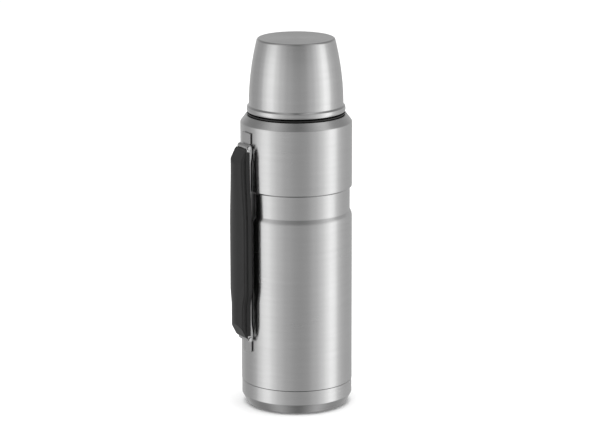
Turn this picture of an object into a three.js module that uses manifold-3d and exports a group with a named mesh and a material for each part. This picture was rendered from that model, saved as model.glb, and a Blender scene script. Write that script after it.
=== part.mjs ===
// Vacuum flask of the 1.2 litre class, with a cup lid and a pull-out handle.
//
// Millimetres, +Z up. The origin is on the flask's axis at the plane that it stands on,
// and the handle is on the -X side. Turned pieces are outlines [radius, height] drawn up
// their outside and down their inside. The handle is drawn in its own frame, turned half
// way round: there x is the distance out from the flask's axis, y runs across the handle
// and z is up.

import * as THREE from 'three';
import { mergeVertices } from 'three/addons/utils/BufferGeometryUtils.js';
import Module from 'manifold-3d';

const wasm = await Module();
wasm.setup();

// ---------------------------------------------------------------- driving dimensions

const SIDES = 36;              // facets round the large turned pieces
const SMALL_SIDES = 18;        // facets round pins, the valve and other small pieces
const GAP = 0.3;               // gap between pieces that touch

// outer shell
const BODY_R = 47.5;
const SHELL_WALL = 0.8;
const BAND_R = 45.65;          // recessed band round the waist
const BAND_FOOT_Z = 166.8;     // chamfer into the band starts here
const BAND_LOW_Z = 170.7;
const BAND_HIGH_Z = 190.5;
const BAND_HEAD_Z = 191.7;     // short step out of the band ends here
const SHOULDER_Z = 247.1;
const SHOULDER_TOP_R = 42.85;
const SHOULDER_TOP_Z = 253.3;
const LEDGE_Z = 253.5;         // flat ring that the collar sits on
const NECK_R = 33.4;           // outside of the shell's neck
const NECK_TOP_Z = 265.5;
const SPIGOT_R = 46.0;         // shell under the base cap
const SPIGOT_Z = 9.2;
const SPIGOT_TOP_Z = 21.4;

// inner vessel
const VESSEL_R = 43.4;
const VESSEL_WALL = 0.7;
const VESSEL_FLOOR_Z = 15.5;
const MOUTH_R = 28.0;
const LIP_Z = 266.6;           // top of the rolled lip at the mouth
const FOIL_WALL = 0.25;
const PUMP_HOLE_R = 1.6;       // hole in the bottom plate for pumping out the vacuum space

// base
const BASE_R = 47.2;
const BASE_H = 21.3;
const BASE_WALL = 0.8;
const BASE_CHAMFER_H = 9.1;
const FOOT_R = 40.8;           // outside of the foot ring
const FOOT_IN_R = 37.0;
const RECESS_Z = 1.2;          // underside inside the foot ring
const RECESS_R = 36.0;

// collar
const COLLAR_R = 41.6;
const COLLAR_Z = 253.8;
const COLLAR_FLANGE_H = 1.1;
const COLLAR_SLEEVE_R = 36.4;
const COLLAR_TOP_Z = 265.2;

// screw threads: ridges of the turned section, with their crests clear of each other
const THREAD_PITCH = 4.4;
const THREAD_RIDGE = 1.0;      // ridge height
const THREAD_CREST = 0.9;      // width of the ridge's flat crest

// cup lid
const CUP_RIM_Z = 256.3;
const CUP_RIM_R = 41.95;
const CUP_BEAD_Z = 260.8;      // top of the bead round the rim
const CUP_WALL_Z = 263.6;      // the tapering wall starts here
const CUP_WALL_R = 40.12;
const CUP_WALL_TOP_Z = 314.6;
const CUP_TAPER = 6.23;        // how far the wall leans in over its height
const CUP_TAPER_POWER = 1.87;
const CUP_TOP_Z = 318.4;
const CUP_EDGE = 1.8;          // radius round the top edge
const CUP_SHEET = 0.7;
const LINER_WALL = 1.2;
const LINER_THREAD_R = 38.4;   // inner wall of the liner behind the thread

// stopper
const STOPPER_FOOT_Z = 232;
const STOPPER_R = 25.6;
const STOPPER_WALL = 2.4;
const FLANGE_R = 33.0;
const FLANGE_Z = 267.9;
const FLANGE_H = 3.6;
const SPOUT_R = 30.4;
const SPOUT_WALL = 2.0;
const SPOUT_TOP_Z = 279;
const SEAT_R = 7;              // hole that the valve closes
const SEAT_H = 2.4;
const SEAT_SKIRT_H = 4.4;
const SPOUT_FOOT_R = 32.2;
const POUR_SLOT_W = 18;
const POUR_SLOT_Z = 272.6;
const POUR_SLOT_H = 5;

// pour knob and valve
const KNOB_R = 30.4;
const KNOB_TOP_Z = 289;
const KNOB_WALL = 2;
const SLEEVE_R = 8;            // sleeve under the knob that lifts the valve's stem
const SLEEVE_IN_R = 5;
const SLEEVE_Z = 268;
const WING_W = 7;
const WING_H = 6;
const STEM_R = 4.0;
const STEM_TOP_Z = 276.4;
const PLUG_R = 9.6;
const PLUG_H = 3;

// handle
const HANDLE_MID_Z = 146.7;
const PIVOT_UP = 83.35;        // leg pivots, up and down from the handle's middle
const PIVOT_OUT = 50.2;        // and out from the flask's axis
const KNUCKLE_R = 2.4;
const PIN_R = 1.2;
const HEAD_R = 1.9;
const HEAD_H = 0.7;
const PLATE_IN = 47.8;
const PLATE_OUT = 49.0;
const PLATE_HALF_W = 6.3;
const PLATE_LOW_Z = 51.3;
const PLATE_HIGH_Z = 242;
const PLATE_KNUCKLE_HALF = 4.6;

// legs: channels of steel, from the pivot to the pin that slides in the grip
const LEG_RUN = 37.8;          // pivot to slide pin, up or down
const LEG_RISE = 3.7;          // and outwards
const LEG_SHEET = 1.2;
const LEG_ROOT_HALF = 8.3;
const LEG_TIP_HALF = 6.8;
const LEG_TIP_R = 2.0;
const LEG_HEEL = -2.85;        // deepest point of the cheek, towards the flask
const LEG_HEEL_RUN = 3;
const LEG_WINDOW_RUN = 9.6;     // the web is cut away from the pivot to here

// grip
const GRIP_IN = 50.4;          // face towards the flask
const GRIP_EDGE = 58.1;        // outer edge of the side faces, at the widest
const GRIP_CROWN = 59.9;
const PART_LINE = 54.3;        // where the hard frame meets the soft cover
const GRIP_END_HALF = 9.5;
const GRIP_MID_HALF = 12.4;
const SWELL = [93, 105, 163, 212];  // heights where the wide middle starts, is full, ends
const GRIP_CHAMFER_AT = 71.4;  // from the middle to where the end chamfers start
const GRIP_CHAMFER_END = 80.95;
const GRIP_CHAMFER_OUT = 54.85;
const GRIP_END = 82.4;
const GRIP_END_IN = 53.2;
const FRAME_WALL_END = 79.9;
const FRAME_BLOCK_END = 77;
const FRAME_TOP = 58.0;
const SKIRT = 0.8;             // side wall of the soft cover
const POCKET_HALF = 7.8;       // half width of the hollow that takes the legs' tips
const ROOT_POCKET_HALF = 8.6;
const POCKET_TOP = 57.3;
const ROOT_POCKET_TOP = 54.8;
const POCKET_REACH = 62;       // where the deeper hollow for the tips stops
const SLOT_HALF = 7.95;
const SLOT_LONG = [-39.3, -24.4];  // ends of the slide pin's slot, from the pivot
const SLOT_IN = 52.35;
const SLOT_OUT = 56.55;

// ---------------------------------------------------------------- materials

function finish(name, color, roughness, metalness) {
  const material = new THREE.MeshStandardMaterial({ color, roughness, metalness });
  material.name = name;
  return material;
}

const BRUSHED_STEEL = finish('brushed_steel', 0xc3c4c4, 0.34, 1);
const POLISHED_STEEL = finish('polished_steel', 0xc8c9ca, 0.18, 1);
const RAW_STEEL = finish('raw_steel', 0xaeb0b1, 0.45, 1);
const COPPER_FOIL = finish('copper_foil', 0xc98a5e, 0.3, 1);
const GETTER_METAL = finish('getter_metal', 0x75777a, 0.6, 1);
const SOLDER_GLASS = finish('solder_glass', 0x3f4a3c, 0.2, 0);
const BLACK_PLASTIC = finish('black_plastic', 0x161616, 0.42, 0);
const HARD_GREY_PLASTIC = finish('handle_plastic', 0x232323, 0.5, 0);
const SOFT_BLACK = finish('soft_grip', 0x2a2a2a, 0.72, 0);
const SILICONE = finish('silicone', 0xd9d6cf, 0.6, 0);

// ---------------------------------------------------------------- shape helpers

// Points along an arc, angles in degrees, counted from the first axis to the second.
function arc(centre, radius, from, to, steps) {
  return Array.from({ length: steps + 1 }, (_, i) => {
    const angle = THREE.MathUtils.degToRad(from + ((to - from) * i) / steps);
    return [centre[0] + radius * Math.cos(angle), centre[1] + radius * Math.sin(angle)];
  });
}

// A turned solid. An outline that leaves the axis alone is closed on itself as a ring.
function turned(outline, sides = SIDES) {
  const closed = outline[0][0] === 0 ? outline : [...outline, outline[0]];
  const points = closed.map(([r, z]) => new THREE.Vector2(r, z));
  return new THREE.LatheGeometry(points, sides).rotateX(Math.PI / 2);
}

// Ridges of a thread seen in section, from a wall at radius r, outwards or inwards.
function threadRidges(r, firstZ, turns, side) {
  const flank = THREAD_RIDGE * 0.6;
  return Array.from({ length: turns }, (_, i) => {
    const z = firstZ + i * THREAD_PITCH;
    const crest = r + side * THREAD_RIDGE;
    return [
      [r, z],
      [crest, z + flank],
      [crest, z + flank + THREAD_CREST],
      [r, z + 2 * flank + THREAD_CREST],
    ];
  }).flat();
}

function extruded(outline, depth) {
  const shape = new THREE.Shape(outline.map(([x, y]) => new THREE.Vector2(x, y)));
  return new THREE.ExtrudeGeometry(shape, { depth, bevelEnabled: false });
}

// Outline [out, up] carried across the handle.
function sideways(outline, half) {
  return extruded(outline, 2 * half).translate(0, 0, -half).rotateX(Math.PI / 2);
}

// Outline [across, up] carried outwards between two distances from the flask's axis.
function outwards(outline, from, to) {
  const turn = new THREE.Matrix4().set(0, 0, 1, 0, 1, 0, 0, 0, 0, 1, 0, 0, 0, 0, 0, 1);
  return extruded(outline, to - from).applyMatrix4(turn).translate(from, 0, 0);
}

function block(x, y, z) {
  const box = new THREE.BoxGeometry(x[1] - x[0], y[1] - y[0], z[1] - z[0]);
  return box.translate((x[0] + x[1]) / 2, (y[0] + y[1]) / 2, (z[0] + z[1]) / 2);
}

// A turned pin laid across the handle at a point [out, up].
function crossPin(outline, at) {
  return turned(outline, SMALL_SIDES).rotateX(-Math.PI / 2).translate(at[0], 0, at[1]);
}

function solidOf(geometry) {
  const bare = geometry.clone();
  bare.deleteAttribute('normal');
  bare.deleteAttribute('uv');
  const merged = mergeVertices(bare, 1e-4);
  const corners = [];
  for (let i = 0; i < merged.index.count; i += 3) {
    const [a, b, c] = [0, 1, 2].map((k) => merged.index.getX(i + k));
    if (a !== b && b !== c && c !== a) corners.push(a, b, c);
  }
  return new wasm.Manifold(new wasm.Mesh({
    numProp: 3,
    vertProperties: merged.attributes.position.array,
    triVerts: new Uint32Array(corners),
  }));
}

function geometryOf(solid) {
  const mesh = solid.getMesh();
  const geometry = new THREE.BufferGeometry();
  geometry.setAttribute('position', new THREE.BufferAttribute(mesh.vertProperties, 3));
  geometry.setIndex(new THREE.BufferAttribute(mesh.triVerts, 1));
  geometry.computeVertexNormals();
  return geometry;
}

const cut = (geometry, ...tools) =>
  geometryOf(tools.reduce((solid, tool) => solid.subtract(solidOf(tool)), solidOf(geometry)));
const joined = (geometry, ...others) =>
  geometryOf(others.reduce((solid, other) => solid.add(solidOf(other)), solidOf(geometry)));
const common = (geometry, ...others) =>
  geometryOf(others.reduce((solid, other) => solid.intersect(solidOf(other)), solidOf(geometry)));

function place(parent, name, geometry, material) {
  const mesh = new THREE.Mesh(geometry, material);
  mesh.name = name;
  parent.add(mesh);
}

// ---------------------------------------------------------------- flask body

const flask = new THREE.Group();
flask.name = 'vacuum_flask';

function outerShell() {
  const inside = BODY_R - SHELL_WALL;
  const bandInside = BAND_R - SHELL_WALL;
  const neckInside = NECK_R - SHELL_WALL;
  return turned([
    [SPIGOT_R, SPIGOT_Z],
    [SPIGOT_R, SPIGOT_TOP_Z],
    [BODY_R, SPIGOT_TOP_Z + 0.5],
    [BODY_R, BAND_FOOT_Z],
    [BAND_R, BAND_LOW_Z],
    [BAND_R, BAND_HIGH_Z],
    [BODY_R, BAND_HEAD_Z],
    [BODY_R, SHOULDER_Z],
    [SHOULDER_TOP_R, SHOULDER_TOP_Z],
    [SHOULDER_TOP_R - 0.6, LEDGE_Z],
    [NECK_R + 0.8, LEDGE_Z],
    [NECK_R, LEDGE_Z + 0.8],
    [NECK_R, NECK_TOP_Z],
    [neckInside, NECK_TOP_Z],
    [neckInside, LEDGE_Z - SHELL_WALL],
    [SHOULDER_TOP_R - 0.9, LEDGE_Z - SHELL_WALL],
    [inside, SHOULDER_Z - 0.3],
    [inside, BAND_HEAD_Z + 0.5],
    [bandInside, BAND_HIGH_Z + 0.5],
    [bandInside, BAND_LOW_Z - 0.5],
    [inside, BAND_FOOT_Z - 0.5],
    [inside, SPIGOT_TOP_Z + 1.3],
    [SPIGOT_R - SHELL_WALL, SPIGOT_TOP_Z + 0.8],
    [SPIGOT_R - SHELL_WALL, SPIGOT_Z],
  ]);
}

// The vessel that holds the drink: a rounded floor, a shoulder, and a neck whose lip rolls
// out over the shell's neck. The thread for the stopper is rolled into the neck.
function innerVessel() {
  const inR = VESSEL_R - VESSEL_WALL;
  const floorIn = VESSEL_FLOOR_Z + VESSEL_WALL;
  const round = 8;
  const neckOut = MOUTH_R + VESSEL_WALL;
  return turned([
    [0, VESSEL_FLOOR_Z],
    ...arc([VESSEL_R - round, VESSEL_FLOOR_Z + round], round, -90, 0, 4),
    [VESSEL_R, 236],
    [neckOut + 2, 245.5],
    [neckOut, 248.5],
    [neckOut, LIP_Z - 0.8],
    [NECK_R, LIP_Z - 0.8],
    [NECK_R, LIP_Z],
    [MOUTH_R, LIP_Z],
    ...threadRidges(MOUTH_R, 251, 2, -1).reverse(),
    [MOUTH_R, 248.3],
    [MOUTH_R + 1.7, 245],
    [inR, 235.6],
    ...arc([inR - round, floorIn + round], round, 0, -90, 4),
    [0, floorIn],
  ]);
}

// Copper foil wrapped round the vessel, between it and the shell.
function radiationFoil() {
  const r = VESSEL_R + GAP;
  return turned([[r + FOIL_WALL, 24], [r + FOIL_WALL, 232], [r, 232], [r, 24]]);
}

// Dished steel plate welded into the foot of the shell, with the hole for pumping it out.
function bottomPlate() {
  const r = SPIGOT_R - SHELL_WALL - GAP;
  const dish = SPIGOT_Z + 2;
  const sheet = 0.8;
  return turned([
    [PUMP_HOLE_R, dish - 0.8],
    [4.5, dish - 0.8],
    [5.5, dish],
    [34, dish],
    [37, SPIGOT_Z],
    [r, SPIGOT_Z],
    [r, SPIGOT_Z + sheet],
    [37.4, SPIGOT_Z + sheet],
    [34.4, dish + sheet],
    [5.1, dish + sheet],
    [4.1, dish],
    [PUMP_HOLE_R, dish],
  ]);
}

// Bead of solder glass that closes the pumping hole from below.
function sealBead() {
  const face = SPIGOT_Z + 1.2 - GAP;
  const neck = PUMP_HOLE_R - GAP;
  return turned([
    [0, face - 1.2],
    [2.4, face - 0.8],
    [3, face],
    [neck, face],
    [neck, face + 0.8],
    [0, face + 0.8],
  ], SMALL_SIDES);
}

// Ring of getter metal that keeps the vacuum, held on the bottom plate.
function getterRing() {
  const low = SPIGOT_Z + 2.8 + GAP;
  return turned([[16, low], [16, low + 1.8], [11, low + 1.8], [11, low]], SMALL_SIDES);
}

// Pressed steel cap over the foot of the flask, with a chamfer and a foot ring.
function baseCap() {
  const inR = SPIGOT_R + GAP;
  return turned([
    [0, RECESS_Z],
    [RECESS_R, RECESS_Z],
    [FOOT_IN_R, 0],
    [FOOT_R, 0],
    [FOOT_R + 2.08, 0.95],
    [BASE_R, BASE_CHAMFER_H],
    [BASE_R, BASE_H],
    [inR, BASE_H],
    [inR, BASE_CHAMFER_H + 0.2],
    [FOOT_R + 1.35, 0.95 + BASE_WALL],
    [FOOT_R - 0.3, BASE_WALL],
    [FOOT_IN_R + 0.3, BASE_WALL],
    [RECESS_R + 0.3, RECESS_Z + BASE_WALL],
    [0, RECESS_Z + BASE_WALL],
  ]);
}

// Black ring on the ledge under the cup, with the thread that the cup screws onto.
function neckCollar() {
  const inR = NECK_R + GAP + 0.5;
  return turned([
    [COLLAR_R, COLLAR_Z],
    [COLLAR_R, COLLAR_Z + COLLAR_FLANGE_H],
    [COLLAR_SLEEVE_R, COLLAR_Z + COLLAR_FLANGE_H],
    ...threadRidges(COLLAR_SLEEVE_R, 256.2, 2, 1),
    [COLLAR_SLEEVE_R, COLLAR_TOP_Z],
    [inR, COLLAR_TOP_Z],
    [inR, LEDGE_Z + GAP + 1],
    [inR + 0.8, LEDGE_Z + GAP],
  ]);
}

place(flask, 'outer_shell', outerShell(), BRUSHED_STEEL);
place(flask, 'inner_vessel', innerVessel(), POLISHED_STEEL);
place(flask, 'radiation_foil', radiationFoil(), COPPER_FOIL);
place(flask, 'bottom_plate', bottomPlate(), RAW_STEEL);
place(flask, 'seal_bead', sealBead(), SOLDER_GLASS);
place(flask, 'getter_ring', getterRing(), GETTER_METAL);
place(flask, 'base_cap', baseCap(), BRUSHED_STEEL);
place(flask, 'neck_collar', neckCollar(), BLACK_PLASTIC);

// ---------------------------------------------------------------- stopper, knob and valve

// Hollow plug with its flange. Drink comes up through it from the valve at its foot.
function stopperBody() {
  const inR = STOPPER_R - STOPPER_WALL;
  return turned([
    [inR, STOPPER_FOOT_Z],
    [STOPPER_R - 1.2, STOPPER_FOOT_Z],
    [STOPPER_R, STOPPER_FOOT_Z + 1.2],
    ...threadRidges(STOPPER_R, 253.2, 2, 1),
    [STOPPER_R, FLANGE_Z],
    [FLANGE_R, FLANGE_Z],
    [FLANGE_R, FLANGE_Z + FLANGE_H],
    [inR, FLANGE_Z + FLANGE_H],
  ]);
}

// Dish pressed into the plug's foot, with the hole that the valve closes.
function valveSeat() {
  const outR = STOPPER_R - STOPPER_WALL - GAP;
  return turned([
    [SEAT_R, STOPPER_FOOT_Z],
    [outR, STOPPER_FOOT_Z],
    [outR, STOPPER_FOOT_Z + SEAT_SKIRT_H],
    [outR - 1.2, STOPPER_FOOT_Z + SEAT_SKIRT_H],
    [outR - 1.2, STOPPER_FOOT_Z + SEAT_H - 0.4],
    [11, STOPPER_FOOT_Z + SEAT_H - 0.4],
    [10.6, STOPPER_FOOT_Z + SEAT_H],
    [SEAT_R, STOPPER_FOOT_Z + SEAT_H],
  ]);
}

// Ring on the flange, with a slot on each side for the drink and for the air.
function spoutRing() {
  const low = FLANGE_Z + FLANGE_H + GAP;
  const ring = turned([
    [SPOUT_R - SPOUT_WALL, low],
    [SPOUT_FOOT_R, low],
    [SPOUT_FOOT_R, POUR_SLOT_Z],
    [SPOUT_R, POUR_SLOT_Z],
    [SPOUT_R, SPOUT_TOP_Z],
    [SPOUT_R - SPOUT_WALL, SPOUT_TOP_Z],
  ]);
  const slotAcross = [-POUR_SLOT_W / 2, POUR_SLOT_W / 2];
  const slotUp = [POUR_SLOT_Z, POUR_SLOT_Z + POUR_SLOT_H];
  return cut(ring, block([-SPOUT_FOOT_R - 1, SPOUT_FOOT_R + 1], slotAcross, slotUp));
}

function stopperGasket() {
  const [low, high] = [LIP_Z + GAP, FLANGE_Z - GAP];
  return turned([[32.4, low], [32.4, high], [29, high], [29, low]]);
}

// Turning cap with a finger wing across its top.
function pourKnob() {
  const low = SPOUT_TOP_Z + GAP;
  const deck = KNOB_TOP_Z - WING_H;
  const cap = turned([
    [0, deck - KNOB_WALL],
    [KNOB_R - KNOB_WALL, deck - KNOB_WALL],
    [KNOB_R - KNOB_WALL, low],
    [KNOB_R, low],
    [KNOB_R, deck - 1],
    [KNOB_R - 1, deck],
    [0, deck],
  ]);
  const wing = block([-KNOB_R + 3, KNOB_R - 3], [-WING_W / 2, WING_W / 2], [deck - 0.4, KNOB_TOP_Z]);
  return joined(cap, wing);
}

// Sleeve fixed under the knob. Its cam raises the stem as the knob turns.
function camSleeve() {
  const top = KNOB_TOP_Z - WING_H - KNOB_WALL - GAP;
  return turned([
    [SLEEVE_IN_R, SLEEVE_Z],
    [SLEEVE_R - 0.6, SLEEVE_Z],
    [SLEEVE_R, SLEEVE_Z + 0.6],
    [SLEEVE_R, top],
    [SLEEVE_IN_R, top],
  ], SMALL_SIDES);
}

// Stem with the valve's disc at its foot.
function valveStem() {
  const disc = STOPPER_FOOT_Z + SEAT_H + 2 * GAP + 1;
  return turned([
    [0, disc],
    [PLUG_R, disc],
    [PLUG_R, disc + PLUG_H],
    [STEM_R, disc + PLUG_H + 2],
    [STEM_R, STEM_TOP_Z],
    [0, STEM_TOP_Z],
  ], SMALL_SIDES);
}

function valveSeal() {
  const low = STOPPER_FOOT_Z + SEAT_H + GAP;
  return turned([[PLUG_R, low], [PLUG_R, low + 1], [SEAT_R, low + 1], [SEAT_R, low]], SMALL_SIDES);
}

place(flask, 'stopper_body', stopperBody(), BLACK_PLASTIC);
place(flask, 'valve_seat', valveSeat(), BLACK_PLASTIC);
place(flask, 'spout_ring', spoutRing(), BLACK_PLASTIC);
place(flask, 'stopper_gasket', stopperGasket(), SILICONE);
place(flask, 'pour_knob', pourKnob(), BLACK_PLASTIC);
place(flask, 'cam_sleeve', camSleeve(), BLACK_PLASTIC);
place(flask, 'valve_stem', valveStem(), BLACK_PLASTIC);
place(flask, 'valve_seal', valveSeal(), SILICONE);

// ---------------------------------------------------------------- cup lid

// Radius of the cup's wall at a height: it leans in faster towards the top.
function cupWallR(z) {
  const t = (z - CUP_WALL_Z) / (CUP_WALL_TOP_Z - CUP_WALL_Z);
  return CUP_WALL_R - CUP_TAPER * Math.max(t, 0) ** CUP_TAPER_POWER;
}

// Points up the cup's wall, set in by a distance from its outer face.
function cupWall(inset, from, to, steps) {
  return Array.from({ length: steps + 1 }, (_, i) => {
    const z = from + ((to - from) * i) / steps;
    return [cupWallR(z) - inset, z];
  });
}

function cupShell() {
  const topR = cupWallR(CUP_WALL_TOP_Z);
  const inTop = CUP_TOP_Z - CUP_SHEET;
  return turned([
    [CUP_RIM_R - CUP_SHEET, CUP_RIM_Z],
    [CUP_RIM_R, CUP_RIM_Z],
    [CUP_RIM_R - 0.3, CUP_BEAD_Z],
    [CUP_WALL_R + 0.1, CUP_BEAD_Z + 0.9],
    ...cupWall(0, CUP_WALL_Z, CUP_WALL_TOP_Z, 5),
    ...arc([topR - 0.5 - CUP_EDGE, CUP_TOP_Z - CUP_EDGE], CUP_EDGE, 12, 90, 3),
    [0, CUP_TOP_Z],
    [0, inTop],
    [topR - CUP_EDGE - 1, inTop],
    ...cupWall(CUP_SHEET, CUP_WALL_Z, CUP_WALL_TOP_Z, 5).reverse(),
    [CUP_WALL_R + 0.1 - CUP_SHEET, CUP_BEAD_Z + 0.6],
    [CUP_RIM_R - 0.3 - CUP_SHEET, CUP_BEAD_Z - 0.4],
  ].filter((point, i, all) => i === 0 || point[0] !== all[i - 1][0] || point[1] !== all[i - 1][1]));
}

// Plastic liner inside the cup, with the thread that takes the collar's.
function cupLiner() {
  const out = CUP_SHEET + GAP;
  const topR = cupWallR(CUP_WALL_TOP_Z) - out;
  const linerTop = CUP_TOP_Z - CUP_SHEET - GAP;
  return turned([
    [LINER_THREAD_R, CUP_RIM_Z + 0.6],
    [CUP_RIM_R - 0.3 - out, CUP_RIM_Z + 0.6],
    [CUP_RIM_R - 0.4 - out, CUP_BEAD_Z - 0.9],
    [CUP_WALL_R + 0.1 - out, CUP_BEAD_Z + 0.1],
    ...cupWall(out, CUP_WALL_Z, CUP_WALL_TOP_Z - 1, 5),
    [topR - CUP_EDGE - 0.6, linerTop],
    [0, linerTop],
    [0, linerTop - LINER_WALL],
    [topR - CUP_EDGE - 1.2, linerTop - LINER_WALL],
    ...cupWall(out + LINER_WALL, 272.1, CUP_WALL_TOP_Z - 2, 4).reverse(),
    [LINER_THREAD_R, 270.6],
    ...threadRidges(LINER_THREAD_R, 259.5, 2, -0.55).reverse(),
  ]);
}

place(flask, 'cup_shell', cupShell(), BRUSHED_STEEL);
place(flask, 'cup_liner', cupLiner(), BLACK_PLASTIC);

// ---------------------------------------------------------------- handle

const handle = new THREE.Group();
handle.name = 'handle';
handle.rotation.z = Math.PI;
flask.add(handle);

const PIN_BORE = [[0, -20], [PIN_R + GAP, -20], [PIN_R + GAP, 20], [0, 20]];

// Height of a point that is so far along a leg from its pivot. end is 1 for the upper
// leg and -1 for the lower one, and along is negative towards the handle's middle.
const legZ = (end, along) => HANDLE_MID_Z + end * (PIVOT_UP + along);

// Steel strip spot-welded down the flask's side. A barrel is rolled from it at each pivot,
// and it is notched beside the barrels to let the legs' barrels turn.
function mountingPlate() {
  const half = PLATE_HALF_W;
  const notch = KNUCKLE_R + 0.4;
  const corner = 0.7;
  const edge = (side) => [
    [side * half, PLATE_LOW_Z + corner],
    ...[-1, 1].flatMap((end) => {
      const z = legZ(end, 0);
      return [
        [side * half, z - notch],
        [side * PLATE_KNUCKLE_HALF, z - notch],
        [side * PLATE_KNUCKLE_HALF, z + notch],
        [side * half, z + notch],
      ];
    }),
    [side * half, PLATE_HIGH_Z - corner],
    [side * (half - corner), PLATE_HIGH_Z],
  ];
  const outline = [
    [-half + corner, PLATE_LOW_Z],
    [half - corner, PLATE_LOW_Z],
    ...edge(1),
    ...edge(-1).reverse(),
  ];
  const strip = outwards(outline, PLATE_IN, PLATE_OUT);
  const barrel = [
    [0, -PLATE_KNUCKLE_HALF],
    [KNUCKLE_R, -PLATE_KNUCKLE_HALF],
    [KNUCKLE_R, PLATE_KNUCKLE_HALF],
    [0, PLATE_KNUCKLE_HALF],
  ];
  const pivots = [-1, 1].map((end) => [PIVOT_OUT, legZ(end, 0)]);
  const barrels = pivots.map((at) => crossPin(barrel, at));
  return cut(joined(strip, ...barrels), ...pivots.map((at) => crossPin(PIN_BORE, at)));
}

// A leg is a folded channel: two cheeks and a web that starts a little way from the pivot,
// with a barrel at each side of its root.
function leg(end) {
  const z = (along) => legZ(end, along);
  const at = (out, along) => [PIVOT_OUT + out, z(along)];
  const ring = (centre, radius, from, to, steps) =>
    arc(centre, radius, from, to, steps).map(([out, along]) => at(out, along));
  const tip = [LEG_RISE, -LEG_RUN];
  const cheek = [
    at(LEG_HEEL, -LEG_HEEL_RUN),
    ...ring([0, 0], KNUCKLE_R, 180, 0, 8),
    ...ring(tip, LEG_TIP_R, 0, -180, 6),
  ];
  const plan = (root, tipHalf) => [
    [-root, z(KNUCKLE_R + 1)],
    [root, z(KNUCKLE_R + 1)],
    [tipHalf, z(-LEG_RUN - LEG_TIP_R - 1)],
    [-tipHalf, z(-LEG_RUN - LEG_TIP_R - 1)],
  ];
  const blank = common(
    sideways(cheek, LEG_ROOT_HALF),
    outwards(plan(LEG_ROOT_HALF, LEG_TIP_HALF), PIVOT_OUT - 10, PIVOT_OUT + 10),
  );
  const betweenCheeks = outwards(
    plan(LEG_ROOT_HALF - LEG_SHEET, LEG_TIP_HALF - LEG_SHEET),
    PIVOT_OUT - 10,
    PIVOT_OUT + 10,
  );
  const underWeb = sideways([
    at(-6, 0),
    ...ring([0, 0], KNUCKLE_R, -180, -90, 4),
    at(KNUCKLE_R - LEG_SHEET, -KNUCKLE_R),
    at(LEG_RISE + LEG_TIP_R - LEG_SHEET, -LEG_RUN + 1),
    at(LEG_RISE + LEG_TIP_R - LEG_SHEET, -LEG_RUN - 6),
    at(-6, -LEG_RUN - 6),
  ], LEG_ROOT_HALF);
  const through = (half, from, to) => {
    const heights = [z(from), z(to)].sort((a, b) => a - b);
    return block([PIVOT_OUT - 6, PIVOT_OUT + 6], [-half, half], heights);
  };
  const rootEnd = -KNUCKLE_R - 0.9;
  const window = through(LEG_ROOT_HALF, -LEG_WINDOW_RUN, rootEnd);
  return cut(
    blank,
    common(underWeb, betweenCheeks),
    common(window, betweenCheeks),
    through(PLATE_KNUCKLE_HALF + GAP, rootEnd, KNUCKLE_R + 2),
    crossPin(PIN_BORE, at(0, 0)),
    crossPin(PIN_BORE, at(...tip)),
  );
}

// Pin with a head at each end, through the barrels of the plate and of a leg.
function hingePin(end) {
  const neck = LEG_ROOT_HALF + GAP;
  const half = neck + HEAD_H;
  return crossPin([
    [0, -half],
    [HEAD_R, -half],
    [HEAD_R, -neck],
    [PIN_R, -neck],
    [PIN_R, neck],
    [HEAD_R, neck],
    [HEAD_R, half],
    [0, half],
  ], [PIVOT_OUT, legZ(end, 0)]);
}

// Pin through a leg's tip. Its ends stand out into the slots in the grip's frame.
function slidePin(end) {
  const half = SLOT_HALF - GAP / 2;
  return crossPin(
    [[0, -half], [PIN_R, -half], [PIN_R, half], [0, half]],
    [PIVOT_OUT + LEG_RISE, legZ(end, -LEG_RUN)],
  );
}

// Half the grip's width at a height: slim at the ends and wider where the hand closes.
function gripHalf(z) {
  const rise = THREE.MathUtils.smoothstep(z, SWELL[0], SWELL[1]);
  const fall = 1 - THREE.MathUtils.smoothstep(z, SWELL[2], SWELL[3]);
  return GRIP_END_HALF + (GRIP_MID_HALF - GRIP_END_HALF) * Math.min(rise, fall);
}

// The grip's width as a plan, set in by a distance, between two heights.
function gripPlan(inset, low, high) {
  const steps = [0.33, 0.67];
  const blend = (a, b) => [a, ...steps.map((t) => a + (b - a) * t), b];
  const heights = [...blend(SWELL[0], SWELL[1]), ...blend(SWELL[2], SWELL[3])];
  const all = [low, ...heights.filter((z) => z > low && z < high), high];
  const side = (sign) => all.map((z) => [sign * (gripHalf(z) - inset), z]);
  return [...side(1), ...side(-1).reverse()];
}

// Side outline of the grip, set in from its outer face and its ends by a distance.
function gripSide(inset) {
  const quarter = (end) => [
    [GRIP_IN, HANDLE_MID_Z + end * (GRIP_END - inset)],
    [GRIP_END_IN, HANDLE_MID_Z + end * (GRIP_END - inset)],
    [GRIP_CHAMFER_OUT - inset, HANDLE_MID_Z + end * (GRIP_CHAMFER_END - inset / 2)],
    [GRIP_CROWN - inset, HANDLE_MID_Z + end * (GRIP_CHAMFER_AT - inset / 2)],
  ];
  return [...quarter(1), ...quarter(-1).reverse()];
}

// Section of the grip: flat side faces and an outer face that is slightly crowned.
function gripSection(inset) {
  const half = GRIP_MID_HALF + 1;
  const drop = GRIP_CROWN - GRIP_EDGE;
  const across = [-1, -0.6, -0.2, 0.2, 0.6, 1];
  const crown = across.map((t) => [GRIP_CROWN - inset - drop * t * t, t * half]);
  return [...crown, [GRIP_IN, half], [GRIP_IN, -half]];
}

// The whole grip's solid shape, set in from its outer face, sides and ends by a distance.
function gripBody(inset) {
  const ends = [HANDLE_MID_Z - GRIP_END, HANDLE_MID_Z + GRIP_END];
  return common(
    sideways(gripSide(inset), GRIP_MID_HALF + 2),
    outwards(gripPlan(inset, ...ends), GRIP_IN - 1, GRIP_CROWN + 1),
    extruded(gripSection(inset), ends[1] - ends[0]).translate(0, 0, ends[0]),
  );
}

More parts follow.
